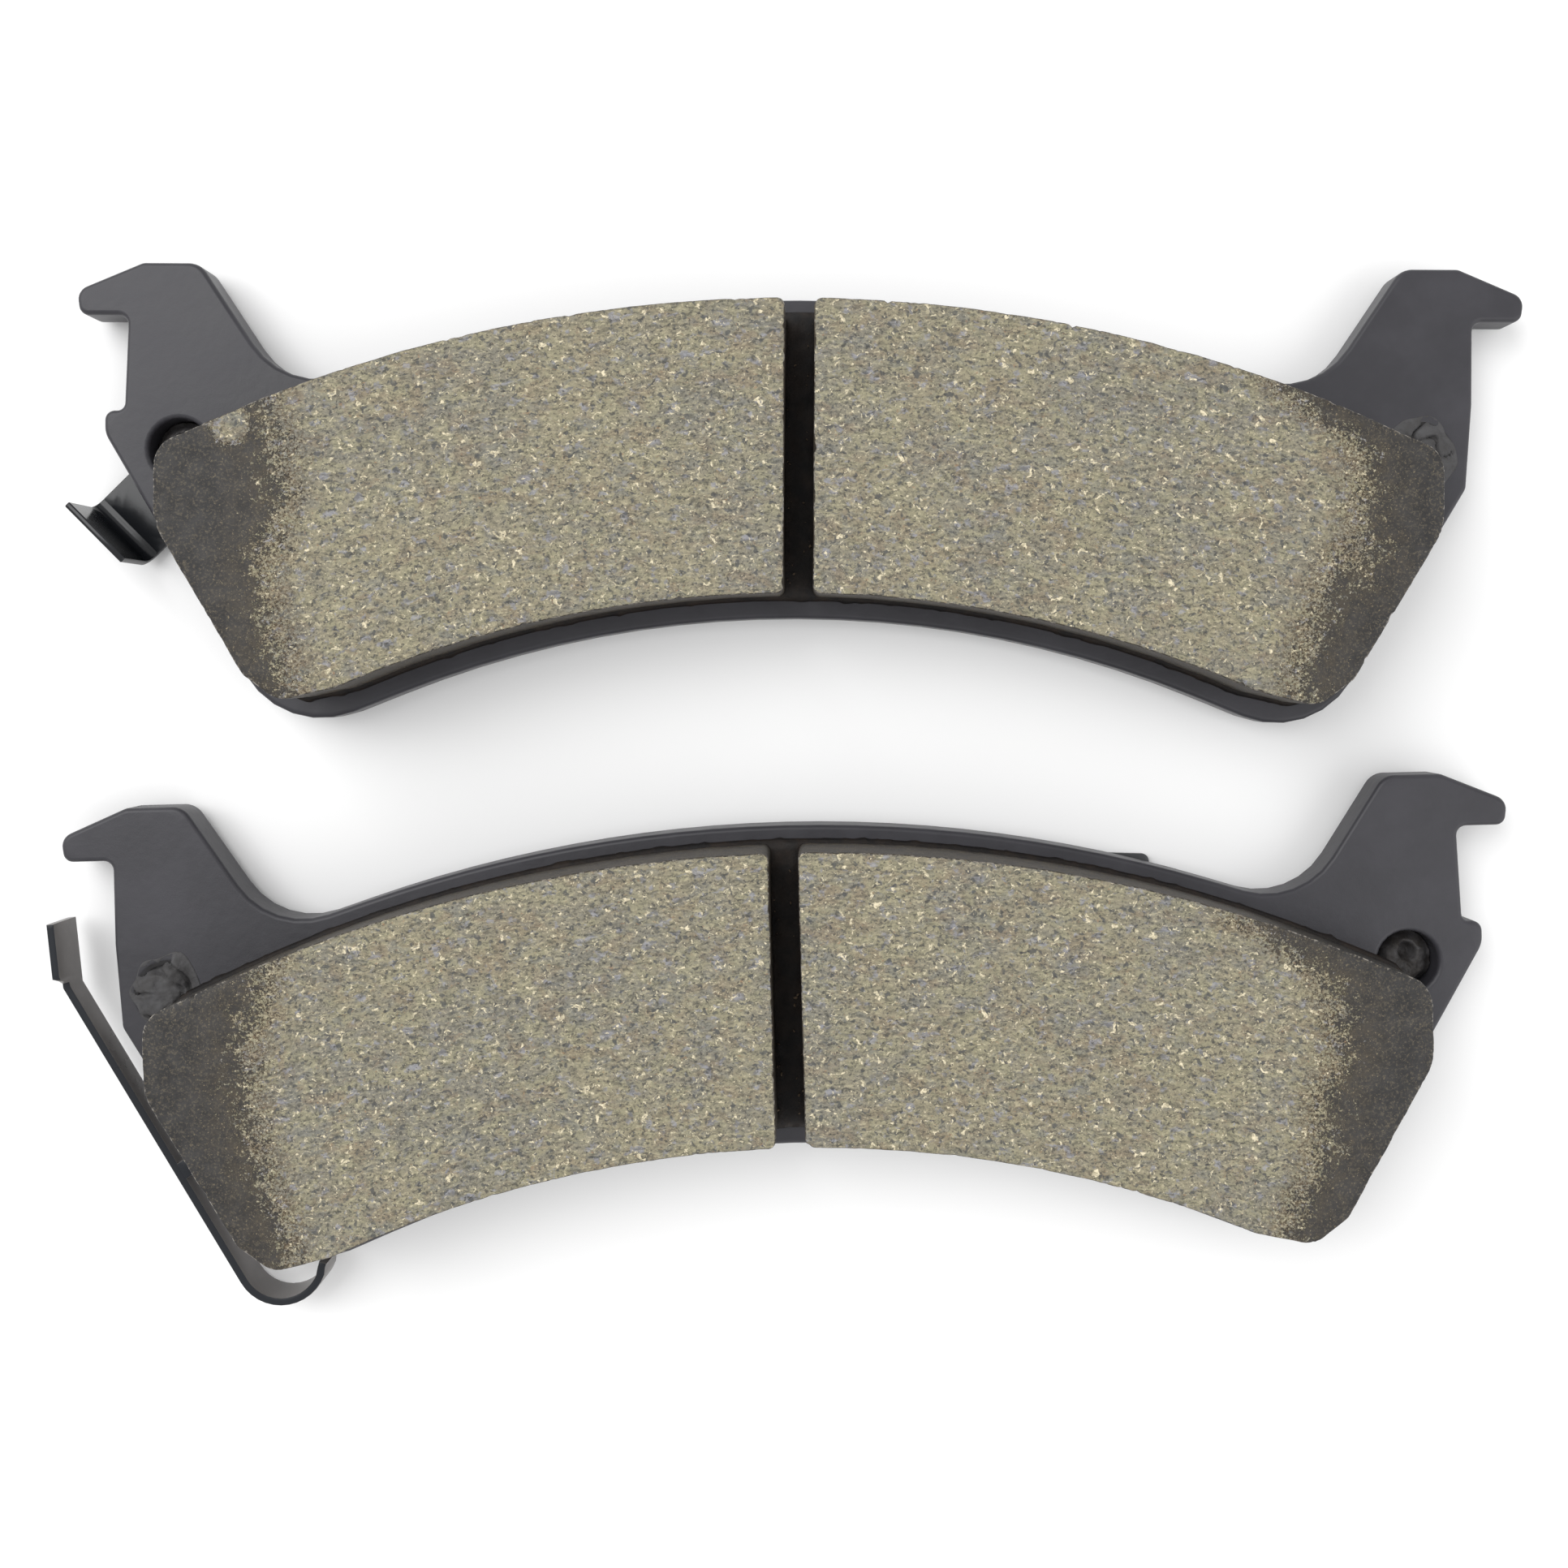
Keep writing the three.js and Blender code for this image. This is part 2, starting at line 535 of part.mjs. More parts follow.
function wearIndicator() {
  const bendStart = INDICATOR_REACH - INDICATOR_SHEET - INDICATOR_BEND_R;
  const rivets = indicatorRivetsOnPad().map((at, i) => {
    return rivet(`wear_indicator_rivet_${i + 1}`, at, SHIM_BACK, -INDICATOR_SHEET);
  });
  return [
    piece('wear_indicator_foot', indicatorFoot(bendStart), springSteel),
    piece('wear_indicator_tab', indicatorTab(bendStart), springSteel),
    ...rivets,
  ];
}

// ---------------------------------------------------------------- leaf spring

function heading(degrees) {
  return new THREE.Vector2(Math.cos(radians(degrees)), Math.sin(radians(degrees)));
}

// `distance` from `from`, going `way`
function along(from, way, distance) {
  return way.clone().multiplyScalar(distance).add(from);
}

// sheet standing on edge, its middle following a path of plan points
function strip(path, fromZ, toZ) {
  const left = [];
  const right = [];
  path.forEach((point, i) => {
    const before = path[Math.max(i - 1, 0)];
    const after = path[Math.min(i + 1, path.length - 1)];
    const into = point.clone().sub(before).normalize();
    const out = after.clone().sub(point).normalize();
    const way = into.clone().add(out).normalize();
    const mitre = Math.max(way.dot(into), way.dot(out));
    const across = new THREE.Vector2(-way.y, way.x).multiplyScalar(LEAF_SHEET / 2 / mitre);
    left.push(point.clone().add(across));
    right.unshift(point.clone().sub(across));
  });
  return slab(new THREE.Shape([...right, ...left]), fromZ, toZ);
}

// a point given from the plate's foot corner, on the pad
function fromFootCorner([x, y]) {
  return [x - FOOT_CORNER[0], y + FOOT_CORNER[1]];
}

const LEAF_RIVETS_ON_PAD = LEAF_RIVETS.map(fromFootCorner);

function onCurl(angle) {
  const centre = new THREE.Vector2(...fromFootCorner(LEAF_CURL_OFFSET));
  return along(centre, heading(angle), LEAF_CURL_R);
}

// the standing part: curl, straight run with its small stop, and wider end tab
function leafArm() {
  const curlSteps = 14;
  const from = LEAF_ROOT_ANGLE - THREE.MathUtils.radToDeg(GAP / LEAF_CURL_R);
  const to = -(90 + LEAF_SLOPE);
  const curl = [];
  for (let i = 0; i <= curlSteps; i++) {
    curl.push(onCurl(from + (to - from) * i / curlSteps));
  }
  const runWay = heading(180 - LEAF_SLOPE);
  const tabWay = heading(LEAF_TAB_TURN);
  const runStart = curl[curlSteps];
  const knee = along(runStart, runWay, LEAF_RUN);
  const tip = along(knee, tabWay, LEAF_TAB_LENGTH);
  const stopInset = LEAF_SHEET / 4 + LEAF_STOP_SIZE[1] / 2;
  const stopAt = along(along(runStart, runWay, LEAF_STOP_AT), heading(90 - LEAF_SLOPE), stopInset);
  const stop = new THREE.BoxGeometry(...LEAF_STOP_SIZE);
  stop.rotateZ(radians(180 - LEAF_SLOPE));
  stop.translate(stopAt.x, stopAt.y, LEAF_EDGE_Z - LEAF_STOP_SIZE[2] / 2);
  return join([
    strip([...curl, along(runStart, runWay, 1)], -LEAF_SHEET, LEAF_EDGE_Z),
    strip([runStart, knee, tip], LEAF_RUN_BACK_Z, LEAF_EDGE_Z),
    strip([along(knee, tabWay, LEAF_SHEET / 2), tip], LEAF_RUN_BACK_Z, LEAF_TAB_Z),
    stop,
  ]);
}

// the flat part on the plate's back, with the tongue that turns up into the curl
function leafFoot() {
  const root = onCurl(LEAF_ROOT_ANGLE);
  const outside = root.x - LEAF_SHEET / 2;
  const outline = roundedShape([
    [outside, root.y, 0],
    ...LEAF_FOOT.map(([x, y, radius]) => [...fromFootCorner([x, y]), radius]),
    [outside + 1.2, root.y + 4, 1.5],
  ]);
  outline.holes.push(...LEAF_RIVETS_ON_PAD.map(rivetHole));
  return slab(outline, -LEAF_SHEET, 0);
}

function leafSpring() {
  const rivets = LEAF_RIVETS_ON_PAD.map((at, i) => {
    return rivet(`leaf_spring_rivet_${i + 1}`, at, SHIM_BACK, -LEAF_SHEET);
  });
  return [
    piece('leaf_spring_foot', leafFoot(), springSteel),
    piece('leaf_spring_arm', leafArm(), springSteel),
    ...rivets,
  ];
}

// ---------------------------------------------------------------- the two pads

function pad(prefix, lugSide, rivetsAt, shimPieces, springPieces) {
  const group = new THREE.Group();
  group.add(
    backingPlate(`${prefix}_backing_plate`, lugSide, rivetsAt),
    underlayer(`${prefix}_underlayer`),
    frictionBlock(`${prefix}_friction_block_left`, -1),
    frictionBlock(`${prefix}_friction_block_right`, 1),
    compoundPlug(`${prefix}_compound_plug_open`, lugSide, OPEN_PLUG_RECESS),
    compoundPlug(`${prefix}_compound_plug_filled`, -lugSide, 0),
    ...shimPieces,
    ...springPieces,
  );
  return group;
}

const innerRivets = [[-SHIM_RIVET_X, SHIM_RIVET_Y], [SHIM_RIVET_X, SHIM_RIVET_Y]];
const innerShim = shim('inner', -SHIM_END_X, SHIM_END_X, innerRivets, false);
const innerPad = pad('inner', -1, [...innerRivets, ...indicatorRivetsOnPad()], innerShim, wearIndicator());

// the outer shim stops short of the leaf spring's foot
const leafFootEdge = Math.max(...LEAF_FOOT.map(([x]) => x)) - FOOT_CORNER[0];
const shortEnd = leafFootEdge + SHIM_SPRING_GAP;
const outerRivets = [[shortEnd + SHIM_RIVET_SHORT_INSET, SHIM_RIVET_Y], [SHIM_RIVET_X, SHIM_RIVET_Y]];
const outerShim = shim('outer', shortEnd, SHIM_END_X, outerRivets, true);
const outerPad = pad('outer', 1, [...outerRivets, ...LEAF_RIVETS_ON_PAD], outerShim, leafSpring());

innerPad.rotation.z = radians(INNER_PAD_TURN);
outerPad.rotation.z = radians(OUTER_PAD_TURN);
outerPad.position.set(OUTER_PAD_SHIFT, -PAD_PITCH, 0);

// the pair stands on z = 0, centred over the origin
const pair = new THREE.Group();
pair.add(innerPad, outerPad);
const bounds = new THREE.Box3().setFromObject(pair, true);
const middle = bounds.getCenter(new THREE.Vector3());
pair.position.set(-middle.x, -middle.y, -bounds.min.z);

export default pair;
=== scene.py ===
# A matched pair of disc brake pads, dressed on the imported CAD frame. Lengths are in millimetres;
# new_object turns each finished mesh into metres.
import bmesh
import bpy
import json
import math
import random
from mathutils import Matrix, Vector, geometry, noise


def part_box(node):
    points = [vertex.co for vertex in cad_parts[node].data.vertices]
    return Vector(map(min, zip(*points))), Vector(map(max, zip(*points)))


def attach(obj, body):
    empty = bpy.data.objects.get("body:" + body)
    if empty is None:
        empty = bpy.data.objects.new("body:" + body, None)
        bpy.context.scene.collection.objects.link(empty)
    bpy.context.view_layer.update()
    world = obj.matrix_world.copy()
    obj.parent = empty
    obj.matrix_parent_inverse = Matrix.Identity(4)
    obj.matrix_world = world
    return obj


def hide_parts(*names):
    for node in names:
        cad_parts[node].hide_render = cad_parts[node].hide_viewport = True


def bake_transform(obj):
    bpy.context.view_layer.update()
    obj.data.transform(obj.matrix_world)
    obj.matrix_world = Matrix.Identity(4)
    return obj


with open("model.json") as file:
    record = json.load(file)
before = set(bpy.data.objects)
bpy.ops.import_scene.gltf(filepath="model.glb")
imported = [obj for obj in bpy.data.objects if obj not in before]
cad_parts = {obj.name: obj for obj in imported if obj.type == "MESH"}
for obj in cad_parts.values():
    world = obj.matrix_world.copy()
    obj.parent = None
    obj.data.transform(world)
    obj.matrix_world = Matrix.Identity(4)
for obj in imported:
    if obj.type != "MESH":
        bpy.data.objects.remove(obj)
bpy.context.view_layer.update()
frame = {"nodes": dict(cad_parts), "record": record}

MM = 0.001
CAD = frame["nodes"]
BODY = {"inner": "inner_pad", "outer": "outer_pad"}
SLOT_HALF = 1.62                      # half the slot between two blocks
SLOT_ENDS = (-15.5, 14.5)             # where chips lie in it, across the pad from the plugs' line
ROLL = 0.12                           # rounding of a sheet's edges
LAP = 0.55                            # how far the wear indicator's bend runs over the gap to its foot
END_SHIFT = 0.45                      # how far the leaf spring's end moves over the gap to its foot
PLATE_ROLL = 0.55                     # rounding of a plate's front edges
SHIM_HEAD_FRONT = 0.45                # the plate side of the shim rivets' heads
RIM_DEPTH = 2.0                       # how far down a block's walls follow the shape of its face
GRIND_R = 330.0                       # the arcs that the grinding left on the friction faces
random.seed(7)


# ------------------------------------------------------------------ reading the CAD

def node_box(node):
    """A CAD node's box, in millimetres."""
    low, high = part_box(node)
    return low / MM, high / MM


def cad_loops(node, z):
    """The outlines of a CAD node's flat face at height z, the largest first: the outer one runs
    counter-clockwise and holes run clockwise."""
    mesh = CAD[node].data
    points = [v.co / MM for v in mesh.vertices]
    keys = [(round(p.x, 3), round(p.y, 3)) for p in points]
    directed = set()
    for face in mesh.polygons:
        if all(abs(points[i].z - z) < 0.01 for i in face.vertices):
            ring = [keys[i] for i in face.vertices]
            if face.normal.z < 0:
                ring.reverse()
            for a, b in zip(ring, ring[1:] + ring[:1]):
                if (b, a) in directed:
                    directed.discard((b, a))
                else:
                    directed.add((a, b))
    follow = dict(directed)
    loops = []
    while follow:
        start, here = next(iter(follow.items()))
        del follow[start]
        loop = [start]
        while here != start:
            loop.append(here)
            here = follow.pop(here)
        loops.append([Vector(p) for p in loop])
    loops.sort(key=lambda l: -abs(area(l)))
    return loops


def section(node, z):
    """The outer outline of a CAD node cut level at height z, counter-clockwise."""
    bm = bmesh.new()
    bm.from_mesh(CAD[node].data)
    bmesh.ops.remove_doubles(bm, verts=bm.verts, dist=1e-6)
    everything = bm.verts[:] + bm.edges[:] + bm.faces[:]
    made = bmesh.ops.bisect_plane(bm, geom=everything, plane_co=(0, 0, z * MM), plane_no=(0, 0, 1))
    cut = [e for e in made["geom_cut"] if isinstance(e, bmesh.types.BMEdge)]
    loops = []
    while cut:
        edge = cut.pop()
        start, here = edge.verts
        loop = [start.co.xy / MM]
        while here is not start:
            loop.append(here.co.xy / MM)
            edge = next(e for e in here.link_edges if e in cut)
            cut.remove(edge)
            here = edge.other_vert(here)
        loops.append(loop if area(loop) > 0 else loop[::-1])
    bm.free()
    return max(loops, key=area)


def levels(node):
    """The heights of a CAD node's level faces, lowest first."""
    mesh = CAD[node].data
    found = []
    for z in sorted(face.center.z / MM for face in mesh.polygons if abs(face.normal.z) > 0.99):
        if not found or z - found[-1] > 0.05:
            found.append(z)
    return found


def corners_at(node, z):
    """The corners of a CAD node at height z, from above."""
    return [v.co.xy / MM for v in CAD[node].data.vertices if abs(v.co.z / MM - z) < 0.01]


def area(loop):
    """The area of a loop, negative when it runs clockwise."""
    return sum(a.x * b.y - b.x * a.y for a, b in zip(loop, loop[1:] + loop[:1])) / 2


def pad_frame(prefix):
    """The way along one pad, from its left plug to its right one, and the point midway."""
    spots = []
    for end in ("open", "filled"):
        low, high = node_box(f"{prefix}_compound_plug_{end}")
        spots.append((low + high) / 2)
    left, right = sorted(spots, key=lambda p: p.x)
    return (right - left).xy.normalized(), ((left + right) / 2).xy


def on_pad(prefix, x, y):
    """A point given along and across a pad, from midway between its plugs."""
    way, middle = PADS[prefix]
    return middle + way * x + Vector((-way.y, way.x)) * y


def along_pad(prefix, x, y):
    """How far a point is along a pad, from midway between its plugs."""
    way, middle = PADS[prefix]
    return (Vector((x, y)) - middle).dot(way)


PADS = {prefix: pad_frame(prefix) for prefix in BODY}
PLATE_BACK = node_box("inner_backing_plate")[0].z
PLATE_FRONT = node_box("inner_backing_plate")[1].z
BLOCK_BASE = node_box("inner_friction_block_left")[0].z
FACE = node_box("inner_friction_block_left")[1].z


# ------------------------------------------------------------------ mesh helpers

def resample(loop, step):
    """The same loop with points at most step apart."""
    out = []
    for a, b in zip(loop, loop[1:] + loop[:1]):
        count = max(1, math.ceil((b - a).length / step))
        out += [a.lerp(b, i / count) for i in range(count)]
    return out


def inward(loop):
    """For each point of a loop, the move towards the material that insets both of its edges by 1."""
    ways = []
    for before, here, after in zip(loop[-1:] + loop[:-1], loop, loop[1:] + loop[:1]):
        a = (here - before).normalized()
        b = (after - here).normalized()
        way = Vector((-(a.y + b.y), a.x + b.x)).normalized()
        cosine = max(0.5, way.dot(Vector((-a.y, a.x))))      # a sharp corner moves twice as far at most
        ways.append(way / cosine)
    return ways


def inside(point, loop):
    """Whether a point is inside a loop."""
    hit = False
    for a, b in zip(loop, loop[1:] + loop[:1]):
        if (a.y > point.y) != (b.y > point.y):
            if point.x < a.x + (point.y - a.y) * (b.x - a.x) / (b.y - a.y):
                hit = not hit
    return hit


def new_object(name, bm, material):
    """An object, in metres, from a mesh in millimetres."""
    mesh = bpy.data.meshes.new(name)
    bmesh.ops.scale(bm, vec=(MM, MM, MM), verts=bm.verts)
    bm.normal_update()
    bm.to_mesh(mesh)
    bm.free()
    obj = bpy.data.objects.new(name, mesh)
    bpy.context.scene.collection.objects.link(obj)
    mesh.materials.append(material)
    for polygon in mesh.polygons:
        polygon.use_smooth = True
    return obj


def flatten_normals(obj, angle=50):
    """Keeps flat faces flat in the shading, and edges sharper than angle sharp."""
    obj.data.set_sharp_from_angle(angle=math.radians(angle))
    modifier = obj.modifiers.new("normals", "WEIGHTED_NORMAL")
    modifier.keep_sharp = True
    modifier.weight = 80


def solid(loops, rows, spacing=None, top=None, wobble=None):
    """A closed solid: rows of (inset, z) up the walls, and both caps filled. A row's z is a number or a
    function of (x, y). top(x, y) gives the upper cap's height, with spacing between its inner points,
    and wobble(x, y, z) an extra inset of the wall."""
    bm = bmesh.new()
    rings = []
    for loop in loops:
        ways = inward(loop)
        stack = []
        for inset, z in rows:
            ring = []
            for p, way in zip(loop, ways):
                level = z(p.x, p.y) if callable(z) else z
                extra = wobble(p.x, p.y, level) if wobble else 0
                q = p + way * (inset + extra)
                if top and level > FACE - RIM_DEPTH:
                    level = min(level, level - FACE + top(q.x, q.y))
                ring.append(bm.verts.new((q.x, q.y, level)))
            stack.append(ring)
        bridge(bm, stack)
        rings.append(stack)
    for which, row in ((0, 0), (1, -1)):
        flat = [v.co.xy for stack in rings for v in stack[row]]
        verts = [v for stack in rings for v in stack[row]]
        edges, start = [], 0
        for stack in rings:
            n = len(stack[row])
            edges += [(start + i, start + (i + 1) % n) for i in range(n)]
            start += n
        borders = [[v.co.xy for v in stack[row]] for stack in rings]
        if top and which == 1:
            add_grid(bm, flat, verts, borders, spacing, top)
        made = geometry.delaunay_2d_cdt(flat, edges, [], 1, 1e-5)
        points, faces, origin = made[0], made[2], made[3]
        for face in faces:
            centre = sum((points[i] for i in face), Vector((0, 0))) / 3
            if any(inside(centre, border) for border in borders[1:]) or not inside(centre, borders[0]):
                continue
            corners = [verts[origin[i][0]] for i in face]
            if which == 0:
                corners.reverse()
            bm.faces.new(corners)
    return bm


def add_grid(bm, flat, verts, borders, spacing, top):
    """Adds staggered points inside the borders to flat and verts, clear of the points already there."""
    xs = [p.x for p in borders[0]]
    ys = [p.y for p in borders[0]]
    cells = {}
    for p in flat:
        cells.setdefault((int(p.x // spacing), int(p.y // spacing)), []).append(p)
    y = min(ys)
    row = 0
    while y < max(ys):
        x = min(xs) + (spacing / 2 if row % 2 else 0)
        crossings = []
        for border in borders:
            for a, b in zip(border, border[1:] + border[:1]):
                if (a.y > y) != (b.y > y):
                    crossings.append(a.x + (y - a.y) * (b.x - a.x) / (b.y - a.y))
        crossings.sort()
        while x < max(xs):
            if sum(c < x for c in crossings) % 2:
                i, j = int(x // spacing), int(y // spacing)
                around = [(i + di, j + dj) for di in (-1, 0, 1) for dj in (-1, 0, 1)]
                near = [q for cell in around for q in cells.get(cell, [])]
                p = Vector((x, y))
                if all((p - q).length > spacing * 0.55 for q in near):
                    flat.append(p)
                    verts.append(bm.verts.new((x, y, top(x, y))))
            x += spacing
        y += spacing * 0.87
        row += 1


def bridge(bm, stack):
    """Walls between each ring of a stack and the next."""
    for low, high in zip(stack, stack[1:]):
        for i in range(len(low)):
            j = (i + 1) % len(low)
            bm.faces.new((low[i], low[j], high[j], high[i]))


def compass(steps):
    """Unit vectors all round, each with its angle."""
    angles = [2 * math.pi * i / steps for i in range(steps)]
    return [(a, Vector((math.cos(a), math.sin(a)))) for a in angles]


def lathe(name, profile, centre, material, steps=48):
    """A turned piece: profile is [(radius, z), ...] from one end to the other, both at radius 0."""
    bm = bmesh.new()
    rings = []
    for radius, z in profile:
        if radius:
            rings.append([bm.verts.new((*(centre + way * radius), z)) for _, way in compass(steps)])
        else:
            rings.append([bm.verts.new((*centre, z))])
    for low, high in zip(rings, rings[1:]):
        for i in range(steps):
            j = (i + 1) % steps
            corners = [low[i % len(low)], low[j % len(low)], high[j % len(high)], high[i % len(high)]]
            unique = list(dict.fromkeys(corners))
            if len(unique) > 2:
                bm.faces.new(unique)
    bmesh.ops.recalc_face_normals(bm, faces=bm.faces)
    return new_object(name, bm, material)


def unite(obj, *others):
    """Joins closed meshes into one closed mesh."""
    for other in others:
        modifier = obj.modifiers.new("join", "BOOLEAN")
        modifier.operation = "UNION"
        modifier.solver = "EXACT"
        modifier.object = other
    graph = bpy.context.evaluated_depsgraph_get()
    joined = bpy.data.meshes.new_from_object(obj.evaluated_get(graph))
    obj.modifiers.clear()
    obj.data = joined
    for other in others:
        bpy.data.objects.remove(other)
    for polygon in joined.polygons:
        polygon.use_smooth = True
    joined.set_sharp_from_angle(angle=math.radians(40))


def smooth_step(value, low, high):
    t = min(1.0, max(0.0, (value - low) / (high - low)))
    return t * t * (3 - 2 * t)


def fractal(x, y, z, scale, octaves=4):
    return noise.fractal(Vector((x, y, z)) * scale, 1.0, 2.0, octaves)


# ------------------------------------------------------------------ material helpers

class Shader:
    """A short way to write one material's node tree."""

    def __init__(self, name):
        self.material = bpy.data.materials.new(name)
        self.material.use_nodes = True
        self.tree = self.material.node_tree
        self.tree.nodes.clear()
        output = self.tree.nodes.new("ShaderNodeOutputMaterial")
        self.bsdf = self.tree.nodes.new("ShaderNodeBsdfPrincipled")
        self.tree.links.new(self.bsdf.outputs[0], output.inputs[0])
        coordinates = self.tree.nodes.new("ShaderNodeTexCoord")
        self.place = self.scaled(coordinates.outputs["Object"], 1 / MM)

    def plug(self, socket, value):
        if isinstance(value, bpy.types.NodeSocket):
            self.tree.links.new(value, socket)
        elif isinstance(value, (tuple, list)) and len(value) == 3 and socket.type == "RGBA":
            socket.default_value = (*value, 1)
        else:
            socket.default_value = value

    def math(self, operation, a, b=0.0, c=0.0, clamp=False):
        node = self.tree.nodes.new("ShaderNodeMath")
        node.operation = operation
        node.use_clamp = clamp
        for socket, value in zip(node.inputs, (a, b, c)):
            self.plug(socket, value)
        return node.outputs[0]

    def scaled(self, vector, scale):
        node = self.tree.nodes.new("ShaderNodeVectorMath")
        node.operation = "SCALE"
        node.inputs["Scale"].default_value = scale
        self.plug(node.inputs[0], vector)
        return node.outputs["Vector"]

    def distance(self, a, b):
        node = self.tree.nodes.new("ShaderNodeVectorMath")
        node.operation = "DISTANCE"
        self.plug(node.inputs[0], a)
        self.plug(node.inputs[1], b)
        return node.outputs["Value"]

    def split(self, vector):
        node = self.tree.nodes.new("ShaderNodeSeparateXYZ")
        self.plug(node.inputs[0], vector)
        return node.outputs

    def combine(self, x, y, z=0.0):
        node = self.tree.nodes.new("ShaderNodeCombineXYZ")
        for socket, value in zip(node.inputs, (x, y, z)):
            self.plug(socket, value)
        return node.outputs[0]

    def noise(self, vector, scale, detail=3.0, roughness=0.5, distortion=0.0):
        node = self.tree.nodes.new("ShaderNodeTexNoise")
        self.plug(node.inputs["Vector"], vector)
        node.inputs["Scale"].default_value = scale
        node.inputs["Detail"].default_value = detail
        node.inputs["Roughness"].default_value = roughness
        node.inputs["Distortion"].default_value = distortion
        return node.outputs["Fac"]

    def ramp(self, value, low, high, to_low=0.0, to_high=1.0):
        """Goes smoothly from to_low at low to to_high at high, and is level outside."""
        node = self.tree.nodes.new("ShaderNodeMapRange")
        node.interpolation_type = "SMOOTHSTEP"
        self.plug(node.inputs["Value"], value)
        for socket, number in zip(list(node.inputs)[1:5], (low, high, to_low, to_high)):
            socket.default_value = number
        return node.outputs[0]

    def curve(self, value, low, high, points, bottom, top):
        """Turns value through a smooth curve given as (value, result) points."""
        unit = self.math("DIVIDE", self.math("SUBTRACT", value, low), high - low, clamp=True)
        node = self.tree.nodes.new("ShaderNodeFloatCurve")
        self.plug(node.inputs["Value"], unit)
        track = node.mapping.curves[0]
        scaled = sorted(((v - low) / (high - low), (r - bottom) / (top - bottom)) for v, r in points)
        track.points[0].location = scaled[0]
        track.points[1].location = scaled[-1]
        for spot in scaled[1:-1]:
            track.points.new(*spot)
        node.mapping.update()
        return self.math("MULTIPLY_ADD", node.outputs[0], top - bottom, bottom)

    def mix(self, factor, a, b):
        node = self.tree.nodes.new("ShaderNodeMix")
        node.data_type = "RGBA"
        self.plug(node.inputs[0], factor)
        self.plug(node.inputs[6], a)
        self.plug(node.inputs[7], b)
        return node.outputs[2]

    def bump(self, height, strength, distance):
        node = self.tree.nodes.new("ShaderNodeBump")
        node.inputs["Strength"].default_value = strength
        node.inputs["Distance"].default_value = distance * MM
        self.plug(node.inputs["Height"], height)
        return node.outputs[0]

    def upward(self, speckle):
        """How far the surface faces up, 1 for level, roughened with half of speckle."""
        normal = self.tree.nodes.new("ShaderNodeNewGeometry").outputs["Normal"]
        return self.math("MULTIPLY_ADD", speckle, 0.5, self.split(normal)[2])

    def centred(self, vector, scale, detail, roughness):
        """Noise about zero."""
        return self.math("SUBTRACT", self.noise(vector, scale, detail, roughness), 0.5)

    def set(self, **values):
        """Sets inputs of the surface: numbers, or sockets to link."""
        for name, value in values.items():
            self.plug(self.bsdf.inputs[name.replace("_", " ")], value)


# ------------------------------------------------------------------ materials

def coat_material(name, colour, roughness, peel, peel_depth, upper=None):
    """Powder coat or paint: an even colour with orange peel and faint dust. The last argument is the
    painted shade of a strip's upward-facing edge: a darker colour there, with less shine."""
    s = Shader(name)
    peel_noise = s.noise(s.place, peel, 2.0, 0.45)
    fine = s.noise(s.place, peel * 7, 2.0, 0.5)
    dust = s.noise(s.place, 0.12, 5.0, 0.6)
    clean, dusty = (tuple(c * share for c in colour) for share in (0.9, 1.18))
    shade = s.mix(s.ramp(dust, 0.35, 0.75), clean, dusty)
    shine = 0.38
    if upper:
        # painted shade: surfaces that face up take the darker colour given last, and shine less
        shade_facing_up = s.upward(s.noise(s.place, 1.2, 4.0, 0.65))
        shade = s.mix(s.ramp(shade_facing_up, 0.75, 1.0), shade, upper)
        shine = s.ramp(shade_facing_up, 0.75, 1.0, 0.42, 0.15)
    height = s.math("MULTIPLY_ADD", fine, 0.25, peel_noise)
    s.set(Base_Color=shade, Specular_IOR_Level=shine, Normal=s.bump(height, 0.6, peel_depth),
          Roughness=s.ramp(dust, 0.3, 0.8, roughness * 0.9, roughness * 1.15))
    return s.material


def skin_shade(s, dark, light):
    """Colour and height of a moulded skin."""
    mottle = s.noise(s.place, 0.5, 4.0, 0.6)
    pits = s.noise(s.place, 3.0, 4.0, 0.65)
    return s.mix(s.ramp(mottle, 0.3, 0.75), dark, light), pits


def skin_material(name, dark, light):
    s = Shader(name)
    colour, pits = skin_shade(s, dark, light)
    s.set(Base_Color=colour, Roughness=0.62, Specular_IOR_Level=0.3, Normal=s.bump(pits, 0.7, 0.10))
    return s.material


